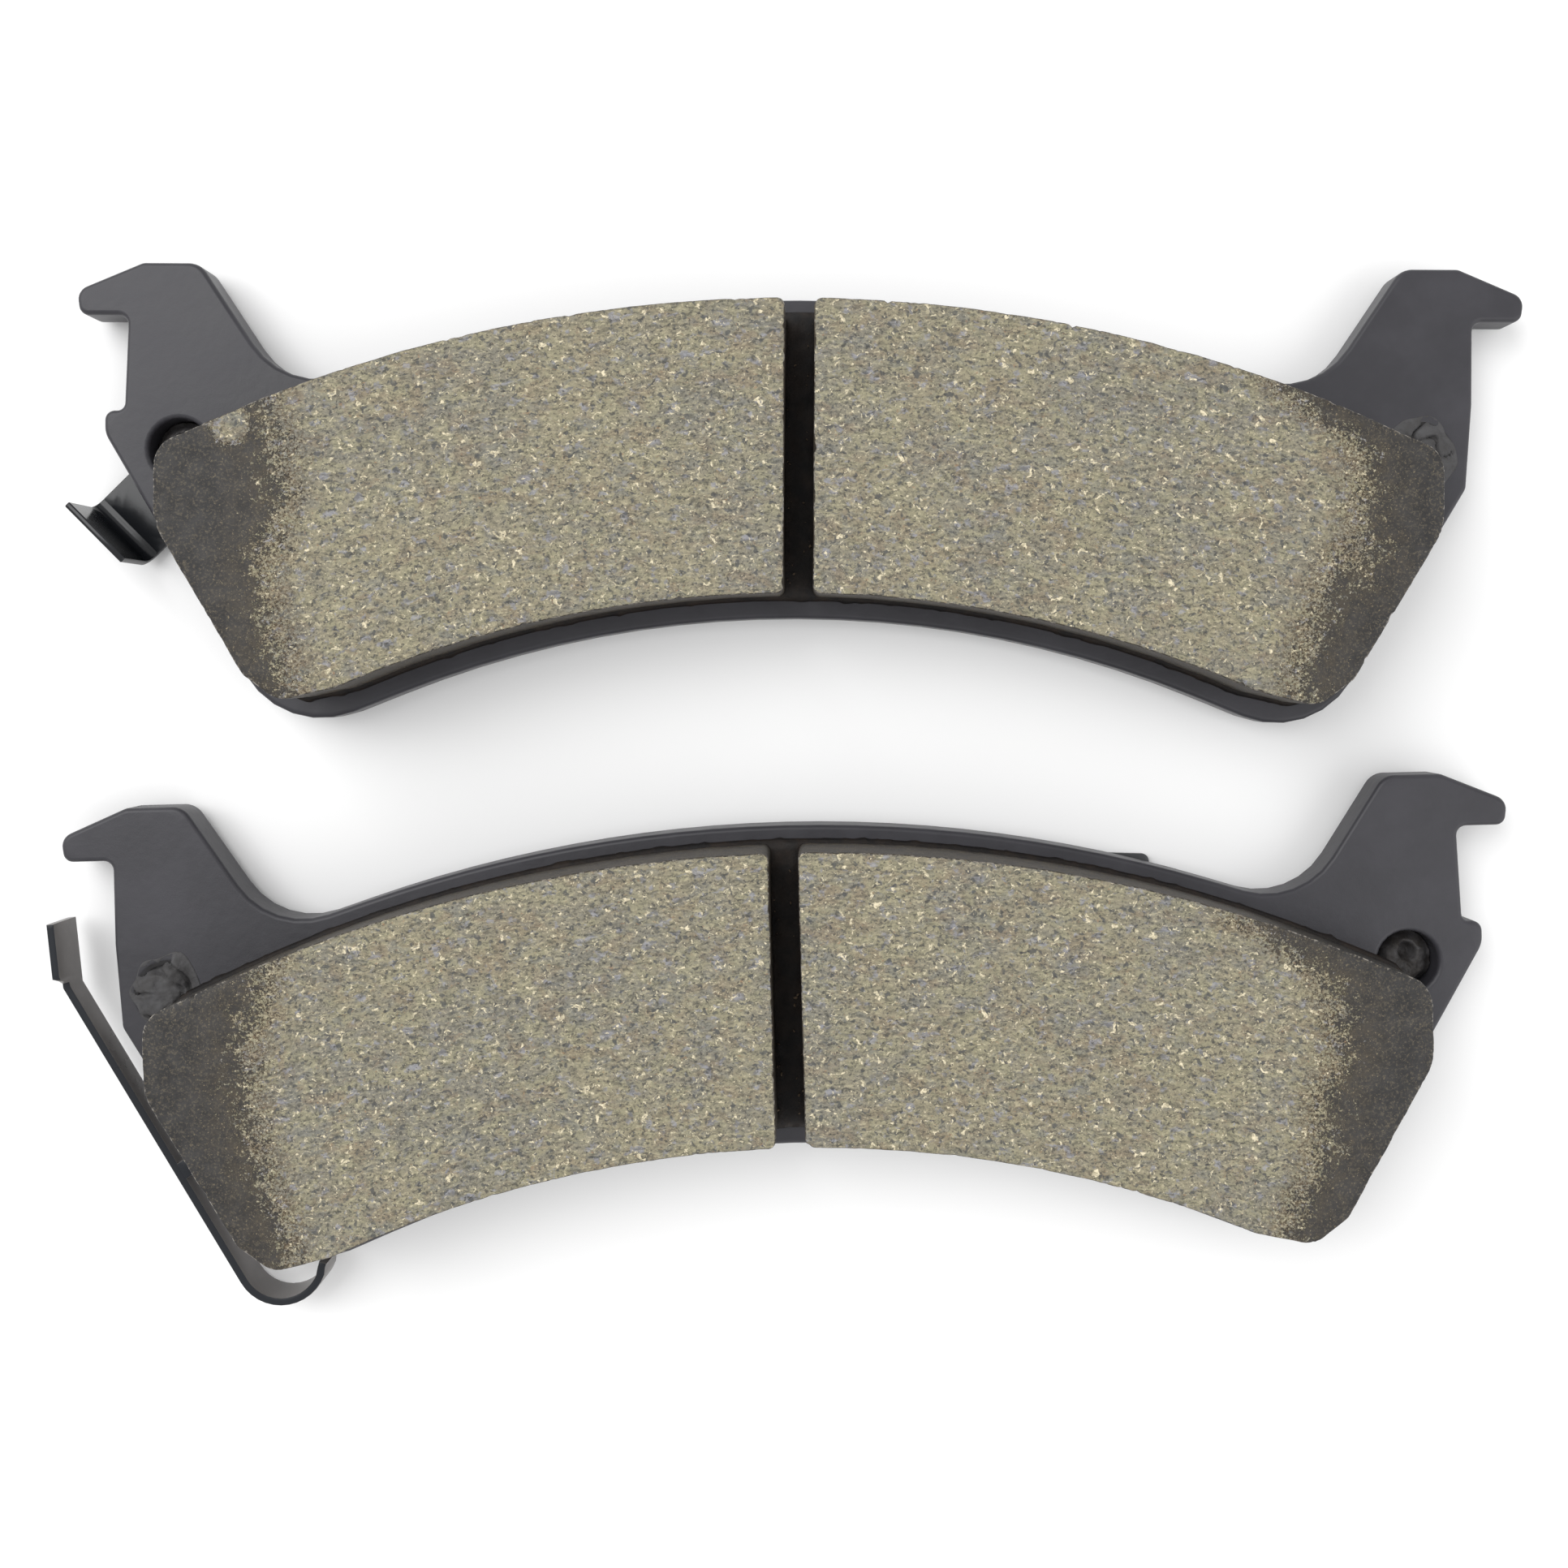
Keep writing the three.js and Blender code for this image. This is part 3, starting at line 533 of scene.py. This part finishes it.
def friction_material(name, pad, side, edge, patches):
    """The ground face, with its grain drawn out along the grinding arcs, and the black unground end.
    side is -1 for the left end and 1 for the right; EDGES tells what edge and patches are."""
    s = Shader(name)
    x, y, z = s.split(s.place)
    centre = on_pad(pad, 0, -GRIND_R)
    dx = s.math("SUBTRACT", x, centre.x)
    dy = s.math("SUBTRACT", y, centre.y)
    across = s.distance(s.combine(x, y), (*centre, 0))
    along = s.math("MULTIPLY", s.math("ARCTAN2", dx, dy), GRIND_R)
    wavy = s.math("MULTIPLY_ADD", s.centred(s.place, 0.8, 3.0, 0.6), 0.8, across)

    def grain(stretch, offset):
        """Coordinates drawn out along the arcs, with an offset that gives each noise its own pattern."""
        return s.combine(s.math("MULTIPLY", along, stretch), wavy, s.math("ADD", z, offset))

    def fleck(stretch, offset, scale, low, high, strength, detail=3.0, roughness=0.62, twist=0.5):
        spread = s.noise(grain(stretch, offset), scale, detail, roughness, twist)
        return s.ramp(spread, low, high, 0.0, strength)

    # matrix: khaki and grey-brown, in blotches
    drift = s.noise(s.place, 0.09, 3.0, 0.55)
    tone = s.mix(s.ramp(drift, 0.38, 0.62), (0.255, 0.228, 0.156), (0.200, 0.188, 0.152))
    tone = s.mix(fleck(0.6, 3.0, 0.5, 0.42, 0.62, 0.75), tone, (0.275, 0.255, 0.165))
    tone = s.mix(fleck(0.6, 9.0, 0.45, 0.50, 0.66, 0.6), tone, (0.215, 0.168, 0.115))
    tone = s.mix(fleck(0.6, 15.0, 0.6, 0.52, 0.66, 0.55), tone, (0.175, 0.178, 0.165))

    # grain: short streaks and crumbs, dark and light
    streak = s.noise(grain(0.38, 21.0), 2.9, 4.0, 0.62, 0.2)
    tone = s.mix(s.ramp(streak, 0.50, 0.35, 0.0, 0.60), tone, (0.070, 0.068, 0.054))
    tone = s.mix(s.ramp(streak, 0.54, 0.70, 0.0, 0.60), tone, (0.47, 0.42, 0.28))
    crumbs = s.noise(grain(0.75, 27.0), 3.9, 3.0, 0.7, 0.2)
    tone = s.mix(s.ramp(crumbs, 0.47, 0.34, 0.0, 0.66), tone, (0.055, 0.053, 0.047))
    tone = s.mix(s.ramp(crumbs, 0.57, 0.72, 0.0, 0.62), tone, (0.52, 0.46, 0.32))
    tone = s.mix(fleck(0.7, 33.0, 2.6, 0.63, 0.72, 0.5), tone, (0.30, 0.165, 0.085))

    # flecks: grey-blue, dark and cream
    lilac = fleck(0.75, 41.0, 0.95, 0.575, 0.665, 0.66, 3.0, 0.6, 0.2)
    grey_blue = s.mix(s.ramp(streak, 0.4, 0.6), (0.160, 0.160, 0.176), (0.270, 0.275, 0.320))
    tone = s.mix(lilac, tone, grey_blue)
    dark = fleck(0.82, 53.0, 1.35, 0.600, 0.680, 0.80, 2.0, 0.5, 0.15)
    tone = s.mix(dark, tone, (0.066, 0.069, 0.070))
    small_dark = fleck(0.8, 61.0, 2.5, 0.60, 0.69, 0.75, 2.0, 0.5, 0.1)
    tone = s.mix(small_dark, tone, (0.055, 0.053, 0.048))
    cream = fleck(0.85, 71.0, 1.15, 0.618, 0.675, 0.92, 3.5, 0.62, 0.5)
    pale = s.mix(s.ramp(crumbs, 0.40, 0.58), (0.42, 0.37, 0.25), (0.78, 0.69, 0.49))
    tone = s.mix(cream, tone, pale)
    small_cream = fleck(0.85, 83.0, 2.2, 0.625, 0.70, 0.85, 3.0, 0.6, 0.4)
    tone = s.mix(small_cream, tone, (0.64, 0.57, 0.40))
    height = s.math("MULTIPLY_ADD", streak, 0.9, s.math("MULTIPLY", crumbs, 0.7))
    height = s.math("MULTIPLY_ADD", s.math("ADD", dark, small_dark), -0.35, height)
    height = s.math("MULTIPLY_ADD", cream, 0.15, height)

    # where the grinding stops: depth is how far in from there, broken up into ground
    ys = [p[0] for p in edge]
    xs = [p[1] for p in edge]
    limit = s.curve(y, min(ys) - 1, max(ys) + 1, edge, min(xs) - 1, max(xs) + 1)
    depth = s.math("MULTIPLY", s.math("SUBTRACT", limit, x), side)
    for px, py, reach, strength in patches:
        gap = s.distance(s.combine(x, y), (px, py, 0))
        depth = s.math("MULTIPLY_ADD", s.ramp(gap, reach, reach * 0.35), strength, depth)
    coarse = s.centred(s.place, 0.35, 3.0, 0.55)
    ragged = s.centred(s.place, 1.5, 5.0, 0.7)
    crumb = s.centred(s.place, 4.0, 4.0, 0.75)
    reach = s.math("MULTIPLY", depth, 0.20)
    reach = s.math("MULTIPLY_ADD", coarse, 1.4, reach)
    reach = s.math("MULTIPLY_ADD", ragged, 2.6, reach)
    reach = s.math("MULTIPLY_ADD", crumb, 2.8, reach)
    ground = s.ramp(reach, -0.10, 0.14)
    facing = s.upward(crumb)
    ground = s.math("MULTIPLY", ground, s.ramp(facing, 0.72, 0.86))

    # next to it the face is rougher, browner and more broken
    border = s.ramp(depth, 6.0, 1.0)
    broken = s.math("MULTIPLY", border, s.ramp(crumb, 0.05, -0.07, 0.0, 0.90))
    tone = s.mix(broken, tone, (0.078, 0.052, 0.028))
    sparkle = s.math("MULTIPLY", border, s.ramp(s.noise(s.place, 3.2, 4.0, 0.7), 0.57, 0.68, 0.0, 0.75))
    tone = s.mix(sparkle, tone, (0.52, 0.45, 0.30))

    # the black skin: grit, smoky brown and gold specks towards the ground face, pale chips on its rim
    skin, pits = skin_shade(s, (0.019, 0.018, 0.018), (0.040, 0.038, 0.037))
    grit = s.noise(s.place, 3.0, 4.0, 0.72)
    skin = s.mix(s.ramp(grit, 0.50, 0.64, 0.0, 0.42), skin, (0.150, 0.125, 0.085))
    cloud = s.ramp(s.noise(s.place, 0.7, 4.0, 0.65), 0.40, 0.62, 0.2, 0.8)
    smoky = s.math("MULTIPLY", s.ramp(depth, -7.0, 1.0), cloud)
    skin = s.mix(smoky, skin, (0.070, 0.056, 0.038))
    gold = s.noise(s.place, 4.2, 3.0, 0.7)
    share = s.math("MULTIPLY_ADD", s.ramp(depth, -9.0, 0.0), 0.5, 0.30)
    skin = s.mix(s.math("MULTIPLY", s.ramp(gold, 0.61, 0.70), share), skin, (0.34, 0.27, 0.16))
    skin = s.mix(s.ramp(gold, 0.42, 0.33, 0.0, 0.5), skin, (0.020, 0.019, 0.018))
    chipped = s.math("MULTIPLY", s.ramp(facing, 0.25, 0.55), s.ramp(facing, 0.95, 0.80))
    chipped = s.math("MULTIPLY", chipped, s.ramp(ragged, -0.02, 0.10, 0.0, 0.75))
    skin = s.mix(chipped, skin, (0.36, 0.33, 0.29))
    height = s.math("MULTIPLY", height, ground)
    height = s.math("MULTIPLY_ADD", pits, s.math("MULTIPLY_ADD", ground, -0.5, 0.7), height)
    height = s.math("MULTIPLY_ADD", ground, 0.4, height)
    s.set(Base_Color=s.mix(ground, skin, tone), Roughness=s.ramp(ground, 0.0, 1.0, 0.60, 0.72),
          Specular_IOR_Level=0.35, Normal=s.bump(height, 0.75, 0.13))
    return s.material


coat = coat_material("powder_coat", (0.036, 0.035, 0.041), 0.42, 0.9, 0.05)
indicator_coat = coat_material("indicator_coat", (0.009, 0.010, 0.012), 0.20, 0.5, 0.02)
# the leaf spring's upward-facing edge gets painted shade, the dark colour given last
leaf_coat = coat_material("leaf_coat", (0.170, 0.160, 0.155), 0.30, 0.6, 0.02, (0.022, 0.024, 0.028))
shim_coat = coat_material("shim_coat", (0.050, 0.052, 0.055), 0.34, 1.6, 0.02)
rubber = coat_material("shim_rubber", (0.018, 0.018, 0.018), 0.75, 2.2, 0.03)
zinc = coat_material("rivet_zinc", (0.48, 0.49, 0.50), 0.33, 0.8, 0.02)
zinc.node_tree.nodes["Principled BSDF"].inputs["Metallic"].default_value = 1.0
base_layer = skin_material("base_layer", (0.007, 0.006, 0.006), (0.022, 0.015, 0.011))
plug_skin = skin_material("plug_skin", (0.020, 0.017, 0.015), (0.062, 0.060, 0.062))
mound_skin = skin_material("mound_skin", (0.050, 0.048, 0.048), (0.078, 0.077, 0.080))
crumb = skin_material("crumbs", (0.060, 0.040, 0.026), (0.20, 0.15, 0.10))


# ------------------------------------------------------------------ backing plates

def finish_piece(obj, prefix, slot, *nodes):
    """Puts a piece on its pad and hides the CAD nodes it stands for. Its slot is not used."""
    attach(obj, BODY[prefix])
    if nodes:
        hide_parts(*nodes)


def backing_plate(prefix):
    node = f"{prefix}_backing_plate"
    loops = [resample(loop, 1.2) for loop in cad_loops(node, PLATE_FRONT)]
    rows = [(0.22, PLATE_BACK), (0.06, PLATE_BACK + 0.08), (0.0, PLATE_BACK + 0.3)]
    rows.append((0.0, PLATE_FRONT - PLATE_ROLL - 1.2))
    for k in range(6):
        turn = math.pi / 2 * k / 5
        rows.append((PLATE_ROLL * (1 - math.cos(turn)), PLATE_FRONT - PLATE_ROLL * (1 - math.sin(turn))))
    obj = new_object(f"{prefix}_plate", solid(loops, rows), coat)
    flatten_normals(obj)
    finish_piece(obj, prefix, "plate_coat", node)


for prefix in PADS:
    backing_plate(prefix)


# ------------------------------------------------------------------ friction blocks

FALL_FROM = 57.0                      # the face falls away from here to the pad's end
BARE_FROM = 58.0                      # and is rough, as moulded
# for each block: (y, x) points where the grinding stops, and (x, y, reach, strength) of ground patches
EDGES = {
    ("inner", "left"): ([(40.9, -56.9), (33.0, -55.4), (24.2, -57.2), (19.0, -56.6), (11.0, -54.6)],
                        [(-60.8, 39.8, 3.6, 9.0)]),
    ("inner", "right"): ([(44.0, 54.0), (42.0, 56.0), (40.0, 59.0), (36.5, 62.6), (30.0, 63.0), (25.0, 60.5),
                          (19.5, 58.5), (16.0, 57.0), (11.0, 56.0)], [(65.5, 23.5, 5.5, 3.2)]),
    ("outer", "left"): ([(-18.7, -56.9), (-24.0, -58.4), (-31.0, -59.3), (-38.9, -57.8), (-45.9, -55.4)],
                        []),
    ("outer", "right"): ([(-15.2, 52.0), (-18.7, 57.0), (-23.0, 60.0), (-28.3, 60.4), (-32.7, 59.0),
                          (-38.9, 58.8), (-44.1, 56.4), (-47.5, 55.3)], []),
}


def friction_block(prefix, half):
    node = f"{prefix}_friction_block_{half}"
    side = -1 if half == "left" else 1
    loops = [resample(loop, 0.45) for loop in cad_loops(node, BLOCK_BASE)]

    def top(x, y):
        reach = along_pad(prefix, x, y) * side
        fall = 0.55 * max(0.0, reach - FALL_FROM) / 13.0
        bare = min(1.0, max(0.0, (reach - BARE_FROM) / 3.0))
        rough = 0.10 * fractal(x, y, 0, 0.35) + 0.05 * fractal(x, y, 5, 1.5) - 0.08
        face = 0.012 * fractal(x, y, 9, 0.8)
        return FACE - 0.032 - fall + rough * bare + face * (1 - bare)

    def wobble(x, y, z):
        wall = 0.05 * fractal(x, y, z, 0.3) + 0.02 * fractal(x, y, z, 2.0)
        chip = 0.0
        if z > FACE - 0.9:
            chip = max(0.0, fractal(x, y, 40, 0.8, 5) - 0.45) * 0.5
            chip += max(0.0, fractal(x, y, 60, 2.2, 3) - 0.35) * 0.25
        return max(-0.1, -0.08 + wall + chip)

    rows = [(0.0, BLOCK_BASE), (0.03, BLOCK_BASE + 0.6)]
    rows += [(0.03, BLOCK_BASE + 0.6 + 0.8 * k) for k in range(1, 10)]
    rows += [(0.03, FACE - 0.5), (0.04, FACE - 0.25), (0.08, FACE - 0.1), (0.20, FACE)]
    material = friction_material(f"friction_{prefix}_{half}", prefix, side, *EDGES[prefix, half])
    obj = new_object(f"{prefix}_block_{half}", solid(loops, rows, 0.8, top, wobble), material)
    finish_piece(obj, prefix, "friction", node)


for prefix, half in EDGES:
    friction_block(prefix, half)


# ------------------------------------------------------------------ underlayers and compound plugs

def underlayer(prefix):
    """The black layer under the blocks: a slightly ragged edge, and a lumpy floor in the slot."""
    node = f"{prefix}_underlayer"

    def top(x, y):
        lift = 0.0
        if abs(along_pad(prefix, x, y)) < SLOT_HALF:
            lift = 0.25 + 0.35 * fractal(x, y, 3, 0.9)
        return BLOCK_BASE - 0.05 + max(0.0, lift)

    def ragged(x, y, z):
        low = 1 - smooth_step(z, PLATE_FRONT + 0.2, BLOCK_BASE)
        return -0.05 - low * (0.06 + 0.30 * max(0.0, fractal(x, y, 8, 0.5, 5) - 0.1))

    loops = [resample(loop, 0.4) for loop in cad_loops(node, BLOCK_BASE)]
    rows = [(0.0, PLATE_FRONT), (0.0, PLATE_FRONT + 0.25), (0.1, PLATE_FRONT + 0.5)]
    rows.append((0.15, BLOCK_BASE - 0.1))
    obj = new_object(f"{prefix}_base_layer", solid(loops, rows, 0.8, top, ragged), base_layer)
    finish_piece(obj, prefix, "underlayer", node)


def lump(name, centre, outline, rings, top, material, steps=84):
    """A closed lump on a round base. outline lists (radius(angle), z) up its side; over that, rings
    is the number of rings to the middle, at the heights that top(x, y) gives."""
    bm = bmesh.new()
    stack = []
    for radius, z in outline:
        spots = [centre + way * radius(a) for a, way in compass(steps)]
        stack.append([bm.verts.new((*p, z)) for p in spots])
    rim = outline[-1][0]
    for k in range(rings):
        spots = [centre + way * rim(a) * (1 - k / rings) for a, way in compass(steps)]
        stack.append([bm.verts.new((*p, top(*p))) for p in spots])
    bridge(bm, stack)
    middle = bm.verts.new((*centre, top(*centre)))
    bm.faces.new(stack[0][::-1])
    for here, after in zip(stack[-1], stack[-1][1:] + stack[-1][:1]):
        bm.faces.new((here, after, middle))
    return new_object(name, bm, material)


def open_plug(prefix):
    """Compound that stops short of the plate's face, lower round its edge, with a pit in the middle."""
    node = f"{prefix}_compound_plug_open"
    low, high = node_box(node)
    centre = ((low + high) / 2).xy
    radius = (high.x - low.x) / 2
    pit = centre + Vector((0.2, 1.0))

    def top(x, y):
        p = Vector((x, y))
        edge = smooth_step((p - centre).length, radius * 0.55, radius)
        hollow = 1 - smooth_step((p - pit).length, 0.5, 1.3)
        return high.z + 0.5 - 1.6 * edge - 1.7 * hollow + 0.7 * fractal(x, y, 2, 0.5)

    outline = [(lambda a: radius, low.z), (lambda a: radius, low.z + 1.2)]
    obj = lump(f"{prefix}_plug_open", centre, outline, 20, top, plug_skin)
    finish_piece(obj, prefix, "plug_compound", node)


def filled_plug(prefix):
    """Compound pressed out over the plate's face in a low cracked mound."""
    node = f"{prefix}_compound_plug_filled"
    low, high = node_box(node)
    centre = ((low + high) / 2).xy
    radius = (high.x - low.x) / 2
    seed = len(prefix) + low.x

    def spread(angle):
        wander = noise.noise(Vector((math.cos(angle), math.sin(angle), seed)) * 1.6)
        return radius + 0.75 + 1.1 * wander

    def top(x, y):
        p = Vector((x, y))
        reach = (p - centre).length / spread(math.atan2(y - centre.y, x - centre.x))
        mound = 0.55 * (1 - smooth_step(reach, 0.45, 1.0))
        lumps = 0.42 * fractal(x, y, seed, 0.42)
        crack = 1 - smooth_step(abs(noise.noise(Vector((x, y, seed + 5)) * 0.42)), 0.0, 0.09)
        fade = 1 - smooth_step(reach, 0.8, 1.0)
        return PLATE_FRONT + 0.03 + mound + fade * (lumps - 0.75 * crack * smooth_step(reach, 0.2, 0.6))

    outline = [(lambda a: radius, low.z), (lambda a: radius, PLATE_FRONT - 0.05)]
    outline.append((spread, PLATE_FRONT - 0.03))
    obj = lump(f"{prefix}_plug_filled", centre, outline, 25, top, mound_skin)
    finish_piece(obj, prefix, "plug_compound", node)


def slot_crumbs(prefix):
    """Chips of compound left in the slot."""
    bm = bmesh.new()
    low, high = (on_pad(prefix, 0, end) for end in SLOT_ENDS)
    way = PADS[prefix][0]
    for _ in range(26):
        spot = low.lerp(high, random.random()) + way * random.choice((-1, 1)) * random.uniform(0.5, 1.5)
        size = random.uniform(0.06, 0.24) * random.uniform(0.6, 1.0)
        made = bmesh.ops.create_icosphere(bm, subdivisions=1, radius=1)["verts"]
        turn = Matrix.Rotation(random.uniform(0, math.pi), 4, (random.random(), random.random(), 1.0))
        for v in made:
            v.co = turn @ Vector((v.co.x * 1.7, v.co.y, v.co.z * 0.6)) * size * random.uniform(0.45, 1.3)
            v.co += Vector((*spot, BLOCK_BASE + 0.35 + size * 0.3))
    finish_piece(new_object(f"{prefix}_slot_crumbs", bm, crumb), prefix, "friction")


for prefix in PADS:
    underlayer(prefix)
    open_plug(prefix)
    filled_plug(prefix)
    slot_crumbs(prefix)


# ------------------------------------------------------------------ shims and rivets

def sheet(loops, low, high, roll=ROLL):
    """A flat sheet with rolled edges."""
    rows = [(roll, low), (roll * 0.3, low + roll * 0.3), (0, low + roll), (0, high - roll),
            (roll * 0.3, high - roll * 0.3), (roll, high)]
    return solid(loops, rows)


def shim(prefix):
    layers = (("core", "shim_steel", shim_coat), ("damping_layer", "shim_rubber", rubber))
    for layer, slot, material in layers:
        node = f"{prefix}_shim_{layer}"
        low, high = node_box(node)
        loops = [resample(loop, 2.0) for loop in cad_loops(node, low.z)]
        obj = new_object(f"{node}_sheet", sheet(loops, low.z, high.z), material)
        flatten_normals(obj, 60)
        finish_piece(obj, prefix, slot, node)


def rivet(node, body, under_head):
    """A semi-tubular rivet: a rolled head with a shallow dish, and the shank in the plate. under_head
    is the height of the head's plate side."""
    low, high = node_box(node)
    head = (high.x - low.x) / 2
    shank = head * 0.6
    depth = under_head - low.z
    dish = [(0, depth * 0.7), (0.3, depth * 0.68), (0.4, depth * 0.3), (0.5, 0.02), (0.62, 0), (0.84, 0.05),
            (0.96, depth * 0.35), (1, depth * 0.65)]
    profile = [(head * share, low.z + rise) for share, rise in dish]
    profile += [(head, under_head), (shank, under_head), (shank, high.z), (0, high.z)]
    obj = lathe(f"{node}_turned", profile, ((low + high) / 2).xy, zinc)
    flatten_normals(obj, 40)
    finish_piece(obj, body, "rivet_zinc", node)


for prefix in PADS:
    shim(prefix)
    for end in ("left", "right"):
        rivet(f"{prefix}_shim_rivet_{end}", prefix, SHIM_HEAD_FRONT)
for strip, body in (("wear_indicator", "inner"), ("leaf_spring", "outer")):
    for k in (1, 2):
        rivet(f"{strip}_rivet_{k}", body, node_box(f"{strip}_foot")[0].z)


# ------------------------------------------------------------------ wear indicator and leaf spring

def hinge(name):
    """Where a joint is."""
    joint = next(j for j in frame["record"]["behaviour"]["joints"] if j["name"] == name)
    return Vector(joint["pos_m"]) / MM


def foot_sheet(node, material):
    """The flat part of a bent strip."""
    low, high = node_box(node)
    loops = [resample(loop, 1.5) for loop in cad_loops(node, high.z)]
    return new_object(node + "_sheet", sheet(loops, low.z, high.z), material)


def rounded_section(half_width, half_height, radius=0.14):
    """A rectangle with rounded corners, as (u, v) points counter-clockwise."""
    points = []
    for u, v, start in ((1, -1, -90), (1, 1, 0), (-1, 1, 90), (-1, -1, 180)):
        for k in range(4):
            a = math.radians(start + 30 * k)
            points.append((u * (half_width - radius) + radius * math.cos(a),
                           v * (half_height - radius) + radius * math.sin(a)))
    return points


def wear_indicator():
    """The bent strip: its foot on the plate's back, and the upstand that meets the worn rotor."""
    root = hinge("wear_tab_flex")
    low, high = node_box("wear_indicator_foot")
    thick = high.z - low.z
    tab_top = node_box("wear_indicator_tab")[1].z
    corners = corners_at("wear_indicator_tab", tab_top)
    middle = sum(corners, Vector((0, 0))) / len(corners)
    way = (middle - root.xy).normalized()
    side = Vector((-way.y, way.x))
    half_width = max(abs((c - middle).dot(side)) for c in corners)
    outside = max((c - root.xy).dot(way) for c in corners)
    bend_at = min((c - root.xy).dot(way) for c in corners_at("wear_indicator_tab", low.z))
    bend_r = outside - bend_at - thick / 2
    level = high.z - thick / 2
    path = [(bend_at - LAP, level, 0.0), (bend_at - LAP + 0.35, level, 0.0)]
    for k in range(13):
        turn = math.pi / 2 * k / 12
        path.append((bend_at + bend_r * math.sin(turn), level + bend_r * (1 - math.cos(turn)), turn))
    rise = tab_top - ROLL - level - bend_r
    for k in range(1, 5):
        path.append((bend_at + bend_r, level + bend_r + rise * k / 4, math.pi / 2))
    bm = bmesh.new()
    stack = []
    insets = [ROLL] + [0.0] * (len(path) - 1) + [ROLL]
    path.append((bend_at + bend_r, tab_top, math.pi / 2))
    for (reach, z, turn), inset in zip(path, insets):
        ring = []
        for u, v in rounded_section(half_width - inset, thick / 2 - inset):
            spot = root.xy + way * (reach - v * math.sin(turn)) + side * u
            ring.append(bm.verts.new((*spot, z + v * math.cos(turn))))
        stack.append(ring)
    bridge(bm, stack)
    bm.faces.new(stack[0][::-1])
    bm.faces.new(stack[-1])
    bmesh.ops.recalc_face_normals(bm, faces=bm.faces)
    obj = new_object("wear_indicator", bm, indicator_coat)
    unite(obj, foot_sheet("wear_indicator_foot", indicator_coat))
    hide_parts("wear_indicator_foot", "wear_indicator_tab")
    reach = way.to_3d() * 0.8
    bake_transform(obj)


def leaf_spring():
    """The strip on edge, as curl, straight run with its stop, and taller end tab; and its riveted foot."""
    node = "leaf_spring_arm"
    back, run_back, stop_back, edge, tab_edge = levels(node)
    root = hinge("leaf_spring_flex")
    knee_y = min(c.y for c in corners_at(node, tab_edge))
    curl_x = min(c.x for c in corners_at(node, back))

    def low(x, y):
        return back + (run_back - back) * smooth_step(curl_x - x, -0.5, 1.2)

    def high(x, y):
        return edge + (tab_edge - edge) * smooth_step(y - knee_y, 0.1, 0.9)

    def lifted(height, by):
        return lambda x, y: height(x, y) + by

    outline = section(node, (run_back + stop_back) / 2)
    for p in outline:
        if (p - root.xy).length < 1.2:
            p.y += END_SHIFT
    rows = [(0.14, low), (0.0, lifted(low, 0.14)), (0.0, lifted(high, -0.16)), (0.05, lifted(high, -0.05)),
            (0.16, high)]
    arm = new_object("leaf_spring", solid([resample(outline, 0.5)], rows), leaf_coat)
    stop = max(cad_loops(node, stop_back), key=area)
    grown = [p - way * 0.15 for p, way in zip(stop, inward(stop))]
    tooth = new_object("stop", sheet([grown], stop_back, edge, 0.1), leaf_coat)
    unite(arm, foot_sheet("leaf_spring_foot", leaf_coat), tooth)
    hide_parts("leaf_spring_foot", "leaf_spring_arm")
    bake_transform(arm)


wear_indicator()
leaf_spring()


# ------------------------------------------------------------------ camera, floor and light

def stage():
    bpy.ops.mesh.primitive_plane_add(size=4, location=(0, 0, -0.0002))
    floor = bpy.context.object
    floor.name = "floor"
    s = Shader("floor")
    pale = s.mix(s.noise(s.place, 0.004), (0.90, 0.90, 0.90), (0.92, 0.92, 0.92))
    s.set(Base_Color=pale, Roughness=0.8, Specular_IOR_Level=0.1)
    floor.data.materials.append(s.material)

    world = bpy.data.worlds.new("studio")
    bpy.context.scene.world = world
    world.use_nodes = True
    background = world.node_tree.nodes["Background"]
    background.inputs["Color"].default_value = (1, 1, 1, 1)
    background.inputs["Strength"].default_value = 0.78
    lamps = (("key", (-0.45, 0.35, 0.75), 5.5, 0.7), ("fill", (0.6, -0.3, 0.6), 2.5, 0.8))
    for name, spot, power, size in lamps:
        data = bpy.data.lights.new(name, "AREA")
        data.energy = power
        data.size = size
        light = bpy.data.objects.new(name, data)
        light.location = spot
        light.rotation_euler = (-Vector(spot)).to_track_quat("-Z", "Y").to_euler()
        bpy.context.scene.collection.objects.link(light)

    data = bpy.data.cameras.new("camera")
    data.lens = 38.8
    data.sensor_width = 36
    data.shift_x = -0.0176
    data.shift_y = -0.0782
    data.clip_start = 0.01
    camera = bpy.data.objects.new("camera", data)
    camera.location = (0.00269, 0.01416, 0.1992)
    bpy.context.scene.collection.objects.link(camera)
    bpy.context.scene.camera = camera
    bpy.context.scene.view_settings.view_transform = "Standard"


stage()
